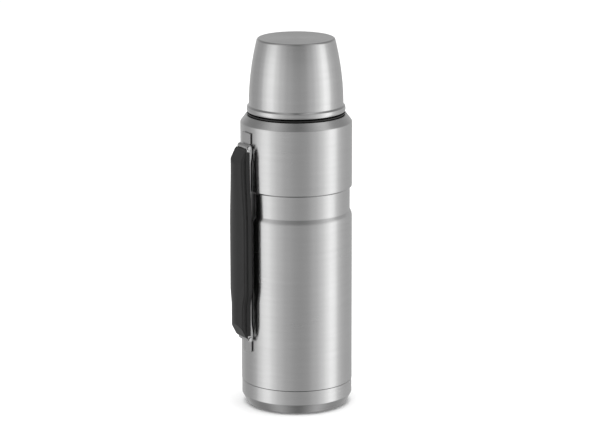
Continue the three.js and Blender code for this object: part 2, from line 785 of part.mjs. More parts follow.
// Hard inner frame: the lower side walls, the block under the cover, and the hollow that
// the legs fold into, with a slot on each side for each slide pin.
function gripFrame() {
  const wide = [-GRIP_MID_HALF - 1, GRIP_MID_HALF + 1];
  const span = (reach) => [HANDLE_MID_Z - reach, HANDLE_MID_Z + reach];
  const walls = common(gripBody(0), block([GRIP_IN, PART_LINE], wide, span(FRAME_WALL_END)));
  const core = common(
    gripBody(SKIRT + GAP),
    block([PART_LINE - 1, FRAME_TOP], wide, span(FRAME_BLOCK_END)),
  );
  const rootHollow = block([GRIP_IN - 1, ROOT_POCKET_TOP], [-ROOT_POCKET_HALF, ROOT_POCKET_HALF], span(90));
  const rootStop = [-1, 1].map((end) => {
    const heights = [HANDLE_MID_Z, HANDLE_MID_Z + end * 58].sort((a, b) => a - b);
    return block([GRIP_IN, ROOT_POCKET_TOP + 1], [-ROOT_POCKET_HALF - 1, ROOT_POCKET_HALF + 1], heights);
  });
  const tipHollow = block([GRIP_IN - 1, POCKET_TOP], [-POCKET_HALF, POCKET_HALF], span(POCKET_REACH));
  const slots = [-1, 1].map((end) => {
    const heights = SLOT_LONG.map((along) => legZ(end, along)).sort((a, b) => a - b);
    return block([SLOT_IN, SLOT_OUT], [-SLOT_HALF, SLOT_HALF], heights);
  });
  return cut(joined(walls, core), cut(rootHollow, ...rootStop), tipHollow, ...slots);
}

// Soft cover moulded over the frame: crowned outer face, side skirts and closed ends.
function gripCover() {
  const wide = [-GRIP_MID_HALF - 1, GRIP_MID_HALF + 1];
  const span = (reach) => [HANDLE_MID_Z - reach, HANDLE_MID_Z + reach];
  const skin = common(
    gripBody(0),
    joined(
      block([PART_LINE + GAP, GRIP_CROWN + 1], wide, span(GRIP_END)),
      ...[-1, 1].map((end) => {
        const near = HANDLE_MID_Z + end * (FRAME_WALL_END + GAP);
        const far = HANDLE_MID_Z + end * GRIP_END;
        return block([GRIP_END_IN, PART_LINE + 1], wide, [near, far].sort((a, b) => a - b));
      }),
    ),
  );
  const hollow = common(
    gripBody(SKIRT),
    block([PART_LINE - 2, FRAME_TOP + GAP], wide, span(FRAME_BLOCK_END + GAP)),
  );
  return cut(skin, hollow);
}

place(handle, 'mounting_plate', mountingPlate(), BRUSHED_STEEL);
place(handle, 'grip_frame', gripFrame(), HARD_GREY_PLASTIC);
place(handle, 'grip_cover', gripCover(), SOFT_BLACK);
for (const [name, end] of [['upper', 1], ['lower', -1]]) {
  place(handle, `${name}_leg`, leg(end), POLISHED_STEEL);
  place(handle, `${name}_hinge_pin`, hingePin(end), POLISHED_STEEL);
  place(handle, `${name}_slide_pin`, slidePin(end), POLISHED_STEEL);
}

export default flask;
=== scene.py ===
"""Visible pieces, finishes and studio for a vacuum flask with a cup lid and a pull-out handle.

Every piece is in metres, +Z up, with the flask's axis on the Z axis and the handle on the
-X side. Shapes are surfaces worked out as whole arrays, and their sizes come from the
frame's nodes and from the properties below.
"""

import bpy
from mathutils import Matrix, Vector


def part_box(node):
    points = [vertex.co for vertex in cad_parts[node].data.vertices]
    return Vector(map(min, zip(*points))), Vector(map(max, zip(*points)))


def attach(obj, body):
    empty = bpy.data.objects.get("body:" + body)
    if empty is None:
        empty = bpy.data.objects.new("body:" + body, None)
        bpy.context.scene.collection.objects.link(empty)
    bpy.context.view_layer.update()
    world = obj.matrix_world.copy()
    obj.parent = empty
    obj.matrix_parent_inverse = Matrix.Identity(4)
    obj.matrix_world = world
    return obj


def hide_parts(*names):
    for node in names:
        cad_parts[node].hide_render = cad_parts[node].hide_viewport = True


bl_info = {
    "name": "Vacuum flask",
    "version": (1, 0, 0),
    "blender": (4, 5, 0),
    "location": "3D View > Sidebar > Flask",
    "description": "Builds the pieces, finishes and studio of a vacuum flask",
    "category": "Object",
}

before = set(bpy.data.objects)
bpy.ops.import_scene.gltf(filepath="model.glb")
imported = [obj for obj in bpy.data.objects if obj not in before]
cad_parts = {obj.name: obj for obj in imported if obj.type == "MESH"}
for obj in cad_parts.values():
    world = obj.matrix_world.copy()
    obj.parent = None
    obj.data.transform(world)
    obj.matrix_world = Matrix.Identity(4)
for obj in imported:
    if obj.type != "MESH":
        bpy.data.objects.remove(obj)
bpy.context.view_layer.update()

import math

import bmesh
import bpy
import numpy as np
from bpy.props import FloatProperty, FloatVectorProperty, IntProperty, PointerProperty
from mathutils import Matrix, Vector

MM = 0.001
TURN = 2 * math.pi
# Colour of the floor's paper, in linear light.
PAPER = (0.86, 0.86, 0.86)
# Distance out of the legs' inner edge at the pivot, in millimetres.
HEEL_ROOT = 47.35
# Turns and height of the helical ridges on the collar, the vessel's mouth and the stopper.
THREAD_TURNS = 1.7
THREAD_HEIGHT = 0.95 * MM


# ------------------------------------------------------------------ properties


def size(label, millimetres, text):
    """A length property whose default is given in millimetres."""
    return FloatProperty(
        name=label, description=text, default=millimetres * MM, unit="LENGTH", subtype="DISTANCE", precision=5
    )


def grey(label, value, text):
    """A colour property whose default is a neutral grey, in linear light."""
    return FloatVectorProperty(
        name=label, description=text, default=(value, value, value), subtype="COLOR", min=0, max=1
    )


def camera_angle(label, value, text):
    """An angle property, kept as a plain number."""
    return FloatProperty(name=label, description=text, default=value, precision=5)


class FlaskSizes(bpy.types.PropertyGroup):
    """Sizes of the flask that the frame's boxes don't give."""

    sides: IntProperty(name="Sides", description="Facets round a turned piece", default=192, min=24)
    sheet: size("Sheet", 0.8, "Thickness of the outer steel sheet")
    band_radius: size("Band radius", 45.65, "Radius of the recessed band round the waist")
    band_foot: size("Band foot", 166.8, "Height where the chamfer into the band starts")
    band_low: size("Band low", 170.7, "Lower edge of the band's flat")
    band_high: size("Band high", 190.5, "Upper edge of the band's flat")
    band_head: size("Band head", 191.7, "Height where the step out of the band ends")
    shoulder: size("Shoulder", 247.1, "Height where the shoulder cone starts")
    shoulder_top_radius: size("Shoulder top radius", 42.85, "Radius at the top of the shoulder")
    ledge: size("Ledge", 253.5, "Height of the flat ring under the collar")
    neck_radius: size("Neck radius", 33.4, "Outside radius of the steel neck")
    mouth_radius: size("Mouth radius", 28.0, "Inside radius of the neck")
    foot_radius: size("Foot radius", 40.8, "Outside radius of the foot ring")
    foot_chamfer: size("Foot chamfer", 9.1, "Height of the base cap's chamfer")
    cup_bead: size("Cup bead", 4.5, "Height of the bead round the cup's rim")
    cup_wall_radius: size("Cup wall radius", 40.12, "Radius of the cup's wall just above the bead")
    cup_taper: size("Cup taper", 6.23, "How far the cup's wall leans in")
    cup_edge: size("Cup edge", 1.9, "Radius round the cup's top edge")
    thread_pitch: size("Thread pitch", 4.4, "Distance between the turns of a thread")


class HandleSizes(bpy.types.PropertyGroup):
    """Sizes of the pull-out handle: out is the distance from the flask's axis."""

    pivot_out: size("Pivot out", 50.2, "Distance from the flask's axis to the legs' pivots")
    pivot_up: size("Pivot up", 83.35, "Distance from the handle's middle up or down to a pivot")
    knuckle: size("Knuckle", 2.4, "Radius of the barrels at the pivots")
    leg_run: size("Leg run", 37.8, "Distance along the flask from a pivot to its slide pin")
    leg_rise: size("Leg rise", 3.7, "Distance outwards from a pivot to its slide pin")
    leg_sheet: size("Leg sheet", 1.2, "Thickness of the legs' steel")
    edge_mid: size("Edge at the middle", 58.3, "Distance out to the grip's long edges at its middle")
    edge_end: size("Edge at the ends", 58.8, "Distance out to the grip's long edges at its ends")
    crown: size("Crown", 1.9, "How far the grip's outer face is raised along its middle")
    end_half: size("End half width", 9.5, "Half the grip's width at its ends")
    mid_half: size("Middle half width", 12.4, "Half the grip's width at its middle")
    part_line: size("Part line", 54.3, "Distance out to the line between the frame and the cover")


class Finishes(bpy.types.PropertyGroup):
    """Base colours of the finishes."""

    steel: grey("Steel", 0.62, "Brushed and bright steel")
    black_plastic: grey("Black plastic", 0.010, "Collar, stopper and cup liner")
    handle_plastic: grey("Handle plastic", 0.016, "Hard frame of the grip")
    soft_grip: grey("Soft grip", 0.016, "Soft cover of the grip")
    silicone: grey("Silicone", 0.66, "Seals")
    brush_density: FloatProperty(
        name="Brush lines", description="Brush lines in each metre across the brushing", default=2600
    )


class StageSizes(bpy.types.PropertyGroup):
    """The camera and the studio."""

    aim_height: size("Aim height", 159.46, "Height on the flask's axis that the camera looks at")
    distance: size("Camera distance", 2531.8, "From the camera to the point that it looks at")
    azimuth: camera_angle("Azimuth", -30.0, "Camera's turn round the flask, in degrees")
    pitch: camera_angle("Pitch", 13.594, "How far the camera looks down, in degrees")
    yaw_trim: camera_angle("Yaw trim", 0.00065, "Small turn of the camera to its left, in radians")
    roll_trim: camera_angle("Roll trim", -0.00249, "Small roll of the camera, in radians")
    lens: FloatProperty(name="Lens", description="Focal length in mm on a 36 mm sensor", default=180.935)
    floor_half: FloatProperty(name="Floor", description="Half the floor's side", default=9.0, unit="LENGTH")
    top_light: FloatProperty(
        name="Top light", description="Power of the large soft light overhead", default=205.0, unit="POWER"
    )


def sizes():
    return bpy.context.scene.flask_sizes


def handle_sizes():
    return bpy.context.scene.flask_handle


def finishes():
    return bpy.context.scene.flask_finishes


# ------------------------------------------------------------------ surfaces


def rounded(corners, closed=True, steps=5):
    """Outline with round corners, from corners (x, y, radius).

    Each corner becomes an arc tangent to its two sides. Its tangent length is the radius
    over the tangent of half the corner's angle, kept under half of the shorter side. One
    point just beyond each end of the arc keeps the flats flat when they are shaded.
    """
    points = np.array([corner[:2] for corner in corners], float)
    radii = np.array([corner[2] if len(corner) > 2 else 0 for corner in corners], float)
    if not closed:
        radii[[0, -1]] = 0
    before = np.roll(points, 1, 0) - points
    after = np.roll(points, -1, 0) - points
    short = np.minimum(np.linalg.norm(before, axis=1), np.linalg.norm(after, axis=1))
    before /= np.linalg.norm(before, axis=1)[:, None]
    after /= np.linalg.norm(after, axis=1)[:, None]
    half = np.arccos(np.clip((before * after).sum(1), -1, 1)) / 2
    reach = np.minimum(radii / np.tan(half), 0.45 * short)
    radius = reach * np.tan(half)
    support = np.minimum(0.0005, 0.04 * short)
    pieces = []
    for i, point in enumerate(points):
        if reach[i] <= 0:
            pieces.append(point[None])
            continue
        middle = before[i] + after[i]
        centre = point + middle / np.linalg.norm(middle) * radius[i] / math.sin(half[i])
        start = point + before[i] * reach[i] - centre
        cross = before[i][0] * after[i][1] - before[i][1] * after[i][0]
        turn = (math.pi - 2 * half[i]) * (-1 if cross > 0 else 1)
        angle = turn * np.linspace(0, 1, steps + 1)
        arc = np.stack(
            [
                centre[0] + start[0] * np.cos(angle) - start[1] * np.sin(angle),
                centre[1] + start[0] * np.sin(angle) + start[1] * np.cos(angle),
            ],
            -1,
        )
        first = point + before[i] * (reach[i] + support[i])
        last = point + after[i] * (reach[i] + support[i])
        pieces.append(np.vstack([first, arc, last]))
    return np.vstack(pieces)


def ring_section(inner, outer, low, high, soft):
    """Section of a plain ring, with its four corners rounded."""
    return rounded([(inner, low, soft), (outer, low, soft), (outer, high, soft), (inner, high, soft)])


def turned(outline, sides, shift=None, across=None):
    """Surface of revolution of an outline (radius, height) drawn up its outside.

    A point at angle a is (r cos a, r sin a, h). shift(a, r, h) may add to the radius, as a
    thread or a knurl does. With across = (x, z), the piece's axis lies along Y through that
    point instead. An outline that starts on the axis also ends on it, and gets one point at
    each pole; any other is closed on itself.
    """
    outline = np.asarray(outline, float)
    poles = outline[0, 0] < 1e-9
    count = len(outline)
    angle = np.arange(sides) * TURN / sides
    a, r, h = angle[:, None], outline[None, :, 0], outline[None, :, 1]
    if shift is not None:
        r = r + shift(a, r, h)
    r, h = np.broadcast_to(r, (sides, count)), np.broadcast_to(h, (sides, count))
    points = np.stack([r * np.cos(a), r * np.sin(a), h], -1).reshape(-1, 3)
    if across is not None:
        points = np.stack([points[:, 0] + across[0], points[:, 2], -points[:, 1] + across[1]], -1)
    steps = np.linalg.norm(np.diff(np.vstack([outline, outline[:1]]), axis=0), axis=1)
    along = np.concatenate([[0], np.cumsum(steps)])
    index = np.arange(sides * count).reshape(sides, count)
    if poles:
        index[:, 0] = index[0, 0]
        index[:, -1] = index[0, -1]
    i = np.arange(sides)[:, None]
    j = np.arange(count - 1 if poles else count)[None, :]
    i, j = np.broadcast_to(i, (sides, j.shape[1])), np.broadcast_to(j, (sides, j.shape[1]))
    following, above = (i + 1) % sides, (j + 1) % count
    quads = np.stack([index[i, j], index[following, j], index[following, above], index[i, above]], -1)
    u, v, w, x = i / sides, (i + 1) / sides, along[j], along[j + 1]
    uvs = np.stack([np.stack(pair, -1) for pair in ((u, w), (v, w), (v, x), (u, x))], 2)
    quads, uvs = quads.reshape(-1, 4), uvs.reshape(-1, 4, 2)
    faces, face_uvs = [], []
    doubled = quads == np.roll(quads, -1, 1)
    whole = ~doubled.any(1)
    faces += quads[whole].tolist()
    face_uvs += uvs[whole].tolist()
    for side in range(4):
        chosen = doubled[:, side]
        keep = [k for k in range(4) if k != side]
        faces += quads[chosen][:, keep].tolist()
        face_uvs += uvs[chosen][:, keep].tolist()
    return points, faces, face_uvs


def lofted(stations):
    """Skin over closed loops of equal count, stations[k, m, 3], with its two ends closed."""
    stations = np.asarray(stations, float)
    rows, count = stations.shape[:2]
    index = np.arange(rows * count).reshape(rows, count)
    near, far = index[:-1], index[1:]
    quads = np.stack([near, np.roll(near, -1, 1), np.roll(far, -1, 1), far], -1).reshape(-1, 4)
    faces = quads.tolist() + [index[0][::-1].tolist(), index[-1].tolist()]
    return stations.reshape(-1, 3), faces, None


def slab(outline, low, high, plane):
    """Outline carried straight between two depths. plane maps (x, y, depth) to 3-D points."""
    outline = np.asarray(outline, float)
    rings = [plane(outline[:, 0], outline[:, 1], np.full(len(outline), depth)) for depth in (low, high)]
    return lofted(np.stack([np.stack(ring, -1) for ring in rings]))


def solid(name, *parts, bevel=0.0):
    """Mesh object at the origin from closed parts, each made to face outwards."""
    mesh = bpy.data.meshes.new(name)
    whole = bmesh.new()
    whole.loops.layers.uv.new("surface")
    for points, faces, uvs in parts:
        piece = bpy.data.meshes.new("part")
        piece.from_pydata(points.tolist(), [], faces)
        uv_layer = piece.uv_layers.new(name="surface")
        if uvs is not None:
            flat = [value for face in uvs for pair in face for value in pair]
            uv_layer.data.foreach_set("uv", flat)
        shell = bmesh.new()
        shell.from_mesh(piece)
        loose = [v for v in shell.verts if not v.link_faces]
        bmesh.ops.delete(shell, geom=loose, context="VERTS")
        if shell.calc_volume(signed=True) < 0:
            bmesh.ops.reverse_faces(shell, faces=shell.faces[:])
        shell.to_mesh(piece)
        shell.free()
        whole.from_mesh(piece)
        bpy.data.meshes.remove(piece)
    whole.to_mesh(mesh)
    whole.free()
    mesh.polygons.foreach_set("use_smooth", [True] * len(mesh.polygons))
    made = bpy.data.objects.new(name, mesh)
    bpy.context.scene.collection.objects.link(made)
    if bevel:
        edge = made.modifiers.new("Edges", "BEVEL")
        edge.width = bevel
        edge.segments = 3
        edge.limit_method = "ANGLE"
        edge.angle_limit = math.radians(28)
        edge.harden_normals = True
    return made


def finish_piece(piece, body, slot, nodes, finish=None):
    """Gives a piece the material of its finish, or of its slot when no finish is named, hides the nodes that
    it stands for and attaches it to its body.
    """
    piece.data.materials.clear()
    piece.data.materials.append(bpy.data.materials[f"{finish or slot}_finish"])
    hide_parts(*nodes)
    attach(piece, body)
    return piece


def helix(wall, start, turns, pitch, height):
    """Thread on a wall of one radius, for turned().

    At angle a and height h the turn number is (h - start) / pitch - a / 2 pi, and the ridge
    stands up where that is near a whole number. It fades in and out at its two ends. Points
    of the outline off the wall don't move.
    """

    def shift(a, r, h):
        turn = (h - start) / pitch - a / TURN
        whole = np.round(turn)
        ridge = np.clip(1.75 - 6.5 * np.abs(turn - whole), 0, 1)
        ridge = ridge * ridge * (3 - 2 * ridge)
        path = whole + a / TURN
        fade = np.clip(path / 0.15, 0, 1) * np.clip((turns - path) / 0.15, 0, 1)
        return np.where(np.abs(r - wall) < 2e-5, height * ridge * fade, 0)

    return shift


def threaded_wall(radius, low, high, steps):
    """Points up a wall, close enough together to carry a thread or a knurl."""
    return np.stack([np.full(steps, radius), np.linspace(low, high, steps)], -1)


# ------------------------------------------------------------------ shader groups


def group(name, inputs, outputs):
    """Empty shader node group with named sockets, (name, type, default) for each input."""
    tree = bpy.data.node_groups.new(name, "ShaderNodeTree")
    for label, kind, default in inputs:
        socket = tree.interface.new_socket(label, in_out="INPUT", socket_type=kind)
        if default is not None:
            socket.default_value = default
    for label, kind in outputs:
        tree.interface.new_socket(label, in_out="OUTPUT", socket_type=kind)
    return tree, tree.nodes.new("NodeGroupInput"), tree.nodes.new("NodeGroupOutput")


def math_node(tree, operation, *values):
    """Math node whose inputs are numbers or sockets."""
    node = tree.nodes.new("ShaderNodeMath")
    node.operation = operation
    for socket, value in zip(node.inputs, values):
        if isinstance(value, (int, float)):
            socket.default_value = value
        else:
            tree.links.new(value, socket)
    return node.outputs[0]


def noise_node(tree, vector, scale, detail, roughness):
    """Noise texture read at a vector."""
    node = tree.nodes.new("ShaderNodeTexNoise")
    node.inputs["Scale"].default_value = scale
    node.inputs["Detail"].default_value = detail
    node.inputs["Roughness"].default_value = roughness
    tree.links.new(vector, node.inputs["Vector"])
    return node.outputs["Fac"]


def map_range(tree, value, low, high, to_low, to_high):
    """Value carried from one range to another, and kept inside it."""
    node = tree.nodes.new("ShaderNodeMapRange")
    for label, number in (("From Min", low), ("From Max", high), ("To Min", to_low), ("To Max", to_high)):
        node.inputs[label].default_value = number
    tree.links.new(value, node.inputs["Value"])
    return node.outputs["Result"]


def brush_group():
    """Brush lines: noise that changes fast across the brushing and slowly along it."""
    tree, given, result = group(
        "brush_lines",
        [("Across", "NodeSocketFloat", 0.0), ("Along", "NodeSocketVector", None),
         ("Density", "NodeSocketFloat", 2600.0)],
        [("Lines", "NodeSocketFloat"), ("Streaks", "NodeSocketFloat")],
    )
    fine = math_node(tree, "MULTIPLY", given.outputs["Across"], given.outputs["Density"])
    broad = math_node(tree, "MULTIPLY", fine, 0.11)
    slow = tree.nodes.new("ShaderNodeSeparateXYZ")
    tree.links.new(given.outputs["Along"], slow.inputs[0])
    results = []
    for fast, stretch, detail in ((fine, 70, 4), (broad, 22, 3)):
        vector = tree.nodes.new("ShaderNodeCombineXYZ")
        for k in range(2):
            tree.links.new(math_node(tree, "MULTIPLY", slow.outputs[k], stretch), vector.inputs[k])
        tree.links.new(fast, vector.inputs[2])
        results.append(noise_node(tree, vector.outputs[0], 1.0, detail, 0.62))
    for label, value in zip(("Lines", "Streaks"), results):
        tree.links.new(value, result.inputs[label])
    return tree


def smudge_group():
    """Smudges: broad soft patches with a little fine break-up, as handling leaves."""
    tree, given, result = group(
        "smudges",
        [("Vector", "NodeSocketVector", None), ("Scale", "NodeSocketFloat", 28.0)],
        [("Patches", "NodeSocketFloat")],
    )
    scaled = tree.nodes.new("ShaderNodeVectorMath")
    scaled.operation = "SCALE"
    tree.links.new(given.outputs["Vector"], scaled.inputs[0])
    tree.links.new(given.outputs["Scale"], scaled.inputs["Scale"])
    broad = noise_node(tree, scaled.outputs[0], 1.0, 2, 0.5)
    broken = noise_node(tree, scaled.outputs[0], 9.0, 4, 0.6)
    mixed = math_node(tree, "MULTIPLY_ADD", broken, 0.25, math_node(tree, "MULTIPLY", broad, 0.75))
    tree.links.new(map_range(tree, mixed, 0.35, 0.65, 0.0, 1.0), result.inputs["Patches"])
    return tree


def grain_group():
    """Moulded grain: small rounded cells with a finer noise on them."""
    tree, given, result = group(
        "moulded_grain",
        [("Vector", "NodeSocketVector", None), ("Cells", "NodeSocketFloat", 1800.0)],
        [("Height", "NodeSocketFloat"), ("Mottle", "NodeSocketFloat")],
    )
    scaled = tree.nodes.new("ShaderNodeVectorMath")
    scaled.operation = "SCALE"
    tree.links.new(given.outputs["Vector"], scaled.inputs[0])
    tree.links.new(given.outputs["Cells"], scaled.inputs["Scale"])
    cells = tree.nodes.new("ShaderNodeTexVoronoi")
    cells.inputs["Scale"].default_value = 1.0
    tree.links.new(scaled.outputs[0], cells.inputs["Vector"])
    fine = noise_node(tree, scaled.outputs[0], 2.3, 3, 0.6)
    pits = math_node(tree, "MULTIPLY", cells.outputs["Distance"], -0.6)
    height = math_node(tree, "MULTIPLY_ADD", fine, 0.5, pits)
    tree.links.new(height, result.inputs["Height"])
    tree.links.new(noise_node(tree, scaled.outputs[0], 0.06, 3, 0.55), result.inputs["Mottle"])
    return tree


def scratch_group():
    """Hairline scratches: thin bright rims of a stretched, warped cell pattern."""
    tree, given, result = group(
        "hairlines",
        [("Vector", "NodeSocketVector", None), ("Scale", "NodeSocketFloat", 60.0)],
        [("Scratches", "NodeSocketFloat")],
    )
    scaled = tree.nodes.new("ShaderNodeVectorMath")
    scaled.operation = "SCALE"
    tree.links.new(given.outputs["Vector"], scaled.inputs[0])
    tree.links.new(given.outputs["Scale"], scaled.inputs["Scale"])
    warp = tree.nodes.new("ShaderNodeTexNoise")
    warp.inputs["Scale"].default_value = 0.7
    tree.links.new(scaled.outputs[0], warp.inputs["Vector"])
    bent = tree.nodes.new("ShaderNodeVectorMath")
    bent.operation = "ADD"
    tree.links.new(scaled.outputs[0], bent.inputs[0])
    tree.links.new(warp.outputs["Color"], bent.inputs[1])
    cells = tree.nodes.new("ShaderNodeTexVoronoi")
    cells.feature = "DISTANCE_TO_EDGE"
    cells.inputs["Scale"].default_value = 1.0
    tree.links.new(bent.outputs[0], cells.inputs["Vector"])
    rims = map_range(tree, cells.outputs["Distance"], 0.0, 0.02, 1.0, 0.0)
    tree.links.new(rims, result.inputs["Scratches"])
    return tree


# ------------------------------------------------------------------ finishes


def material(name, colour, roughness, metallic=0.0, **sockets):
    """Material with a Principled shader, its uniform numbers set on the shader itself."""
    made = bpy.data.materials.new(f"{name}_finish")
    made.use_nodes = True
    shader = made.node_tree.nodes["Principled BSDF"]
    shader.inputs["Base Color"].default_value = (*colour, 1)
    shader.inputs["Roughness"].default_value = roughness
    shader.inputs["Metallic"].default_value = metallic
    for label, value in sockets.items():
        shader.inputs[label.replace("_", " ")].default_value = value
    made.diffuse_color = (*colour, 1)
    return made.node_tree, shader, made


def use_group(tree, name, **values):
    """Places a shader group, with numbers or sockets for its inputs."""
    node = tree.nodes.new("ShaderNodeGroup")
    node.node_tree = bpy.data.node_groups[name]
    for label, value in values.items():
        if isinstance(value, (int, float)):
            node.inputs[label].default_value = value
        else:
            tree.links.new(value, node.inputs[label])
    return node.outputs


def object_coordinates(tree):
    return tree.nodes.new("ShaderNodeTexCoord").outputs["Object"]


def shade_between(tree, shader, mask, colour, dark, light):
    """Base colour that runs between two brightnesses of one colour by a mask."""
    ramp = tree.nodes.new("ShaderNodeMix")
    ramp.data_type = "RGBA"
    ramp.inputs["A"].default_value = (*[c * dark for c in colour], 1)
    ramp.inputs["B"].default_value = (*[c * light for c in colour], 1)
    tree.links.new(mask, ramp.inputs["Factor"])
    tree.links.new(ramp.outputs["Result"], shader.inputs["Base Color"])


def bump(tree, shader, height, distance, strength=1.0):
    """Bump whose full height is a distance in metres."""
    node = tree.nodes.new("ShaderNodeBump")
    node.inputs["Strength"].default_value = strength
    node.inputs["Distance"].default_value = distance
    tree.links.new(height, node.inputs["Height"])
    tree.links.new(node.outputs["Normal"], shader.inputs["Normal"])


def brushed_steel(name, low, high, anisotropy, depth):
    """Steel brushed round the turned piece: lines follow the outline's own length.

    The lines run round the piece, so the gloss is drawn out across them.
    """
    colour = finishes().steel[:]
    tree, shader, _ = material(name, colour, (low + high) / 2, 1.0, Anisotropic=anisotropy)
    shader.inputs["Anisotropic Rotation"].default_value = 0.25
    tangent = tree.nodes.new("ShaderNodeTangent")
    tangent.direction_type = "UV_MAP"
    tangent.uv_map = "surface"
    tree.links.new(tangent.outputs[0], shader.inputs["Tangent"])
    surface = tree.nodes.new("ShaderNodeUVMap")
    surface.uv_map = "surface"
    split = tree.nodes.new("ShaderNodeSeparateXYZ")
    tree.links.new(surface.outputs[0], split.inputs[0])
    place = object_coordinates(tree)
    lines = use_group(
        tree, "brush_lines", Across=split.outputs["Y"], Along=place, Density=finishes().brush_density
    )
    smudges = use_group(tree, "smudges", Vector=place, Scale=24.0)
    shade_between(tree, shader, lines["Streaks"], colour, 0.95, 1.05)
    brushed = math_node(tree, "MULTIPLY", lines["Lines"], 0.65)
    worn = math_node(tree, "MULTIPLY_ADD", smudges["Patches"], 0.35, brushed)
    tree.links.new(map_range(tree, worn, 0.2, 0.8, low, high), shader.inputs["Roughness"])
    bump(tree, shader, lines["Lines"], depth)


def strip_steel():
    """Steel strip brushed along its length, up and down the flask."""
    colour = finishes().steel[:]
    tree, shader, _ = material("strip_steel", colour, 0.3, 1.0)
    place = object_coordinates(tree)
    split = tree.nodes.new("ShaderNodeSeparateXYZ")
    tree.links.new(place, split.inputs[0])
    slow = tree.nodes.new("ShaderNodeCombineXYZ")
    tree.links.new(split.outputs["Z"], slow.inputs[0])
    lines = use_group(tree, "brush_lines", Across=split.outputs["Y"], Along=slow.outputs[0], Density=2200.0)
    tree.links.new(map_range(tree, lines["Lines"], 0.2, 0.8, 0.24, 0.38), shader.inputs["Roughness"])
    shade_between(tree, shader, lines["Streaks"], colour, 0.93, 1.05)
    bump(tree, shader, lines["Lines"], 0.000012)


def bright_steel():
    """Rolled and tumbled steel of the legs, pins and vessel, with hairline scratches."""
    colour = finishes().steel[:]
    tree, shader, _ = material("polished_steel", colour, 0.2, 1.0)
    place = object_coordinates(tree)
    smudges = use_group(tree, "smudges", Vector=place, Scale=90.0)
    hairs = use_group(tree, "hairlines", Vector=place, Scale=160.0)
    rough = math_node(tree, "MULTIPLY_ADD", hairs["Scratches"], 0.35, smudges["Patches"])
    tree.links.new(map_range(tree, rough, 0.0, 1.3, 0.16, 0.34), shader.inputs["Roughness"])
    shade_between(tree, shader, smudges["Patches"], colour, 0.96, 1.06)
    bump(tree, shader, hairs["Scratches"], -0.000006)


def dull_metal(name, colour, roughness, cells, depth):
    """Plain unpolished metal with a fine mottled grain."""
    tree, shader, _ = material(name, colour, roughness, 1.0)
    grain = use_group(tree, "moulded_grain", Vector=object_coordinates(tree), Cells=cells)
    shade_between(tree, shader, grain["Mottle"], colour, 0.8, 1.15)
    rough = map_range(tree, grain["Mottle"], 0.3, 0.7, roughness - 0.08, roughness + 0.1)
    tree.links.new(rough, shader.inputs["Roughness"])
    bump(tree, shader, grain["Height"], depth)


def moulding(name, colour, rough, cells, depth, smudge, **sockets):
    """Moulded plastic, rubber or silicone: fine grain, mottled colour and handling marks."""
    tree, shader, _ = material(name, colour, sum(rough) / 2, 0.0, **sockets)
    place = object_coordinates(tree)
    grain = use_group(tree, "moulded_grain", Vector=place, Cells=cells)
    marks = use_group(tree, "smudges", Vector=place, Scale=smudge)
    mottle = math_node(tree, "MULTIPLY", grain["Mottle"], 0.5)
    mixed = math_node(tree, "MULTIPLY_ADD", marks["Patches"], 0.5, mottle)
    shade_between(tree, shader, grain["Mottle"], colour, 0.82, 1.18)
    tree.links.new(map_range(tree, mixed, 0.15, 0.85, *rough), shader.inputs["Roughness"])
    bump(tree, shader, grain["Height"], depth)


class FLASK_OT_finishes(bpy.types.Operator):
    """Build the shader groups and the material for each slot"""

    bl_idname = "flask.finishes"
    bl_label = "Finishes"

    def execute(self, context):
        looks = finishes()
        brush_group()
        smudge_group()
        grain_group()
        scratch_group()
        brushed_steel("brushed_steel", 0.20, 0.28, 0.7, 0.000006)
        brushed_steel("cup_steel", 0.15, 0.21, 0.6, 0.000004)
        strip_steel()
        bright_steel()
        dull_metal("raw_steel", (0.50, 0.51, 0.52), 0.42, 1400.0, 0.00001)
        dull_metal("copper_foil", (0.80, 0.46, 0.30), 0.28, 260.0, 0.0001)
        dull_metal("getter_metal", (0.18, 0.18, 0.19), 0.6, 2600.0, 0.00004)
        moulding("black_plastic", looks.black_plastic[:], (0.30, 0.42), 2400.0, 0.000008, 40.0)
        moulding(
            "handle_plastic", looks.handle_plastic[:], (0.36, 0.48), 1900.0, 0.00001, 34.0,
            Specular_IOR_Level=0.35
        )
        moulding(
            "soft_grip", looks.soft_grip[:], (0.26, 0.36), 1500.0, 0.00001, 30.0, Specular_IOR_Level=0.33
        )
        moulding(
            "silicone", looks.silicone[:], (0.42, 0.58), 1700.0, 0.000008, 60.0, Subsurface_Weight=0.15
        )
        moulding("solder_glass", (0.03, 0.05, 0.03), (0.08, 0.16), 300.0, 0.000004, 20.0, Coat_Weight=0.5)
        return {"FINISHED"}


# ------------------------------------------------------------------ flask body


def top(node):
    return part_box(node)[1][2]


def radius_of(node):
    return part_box(node)[1][0]


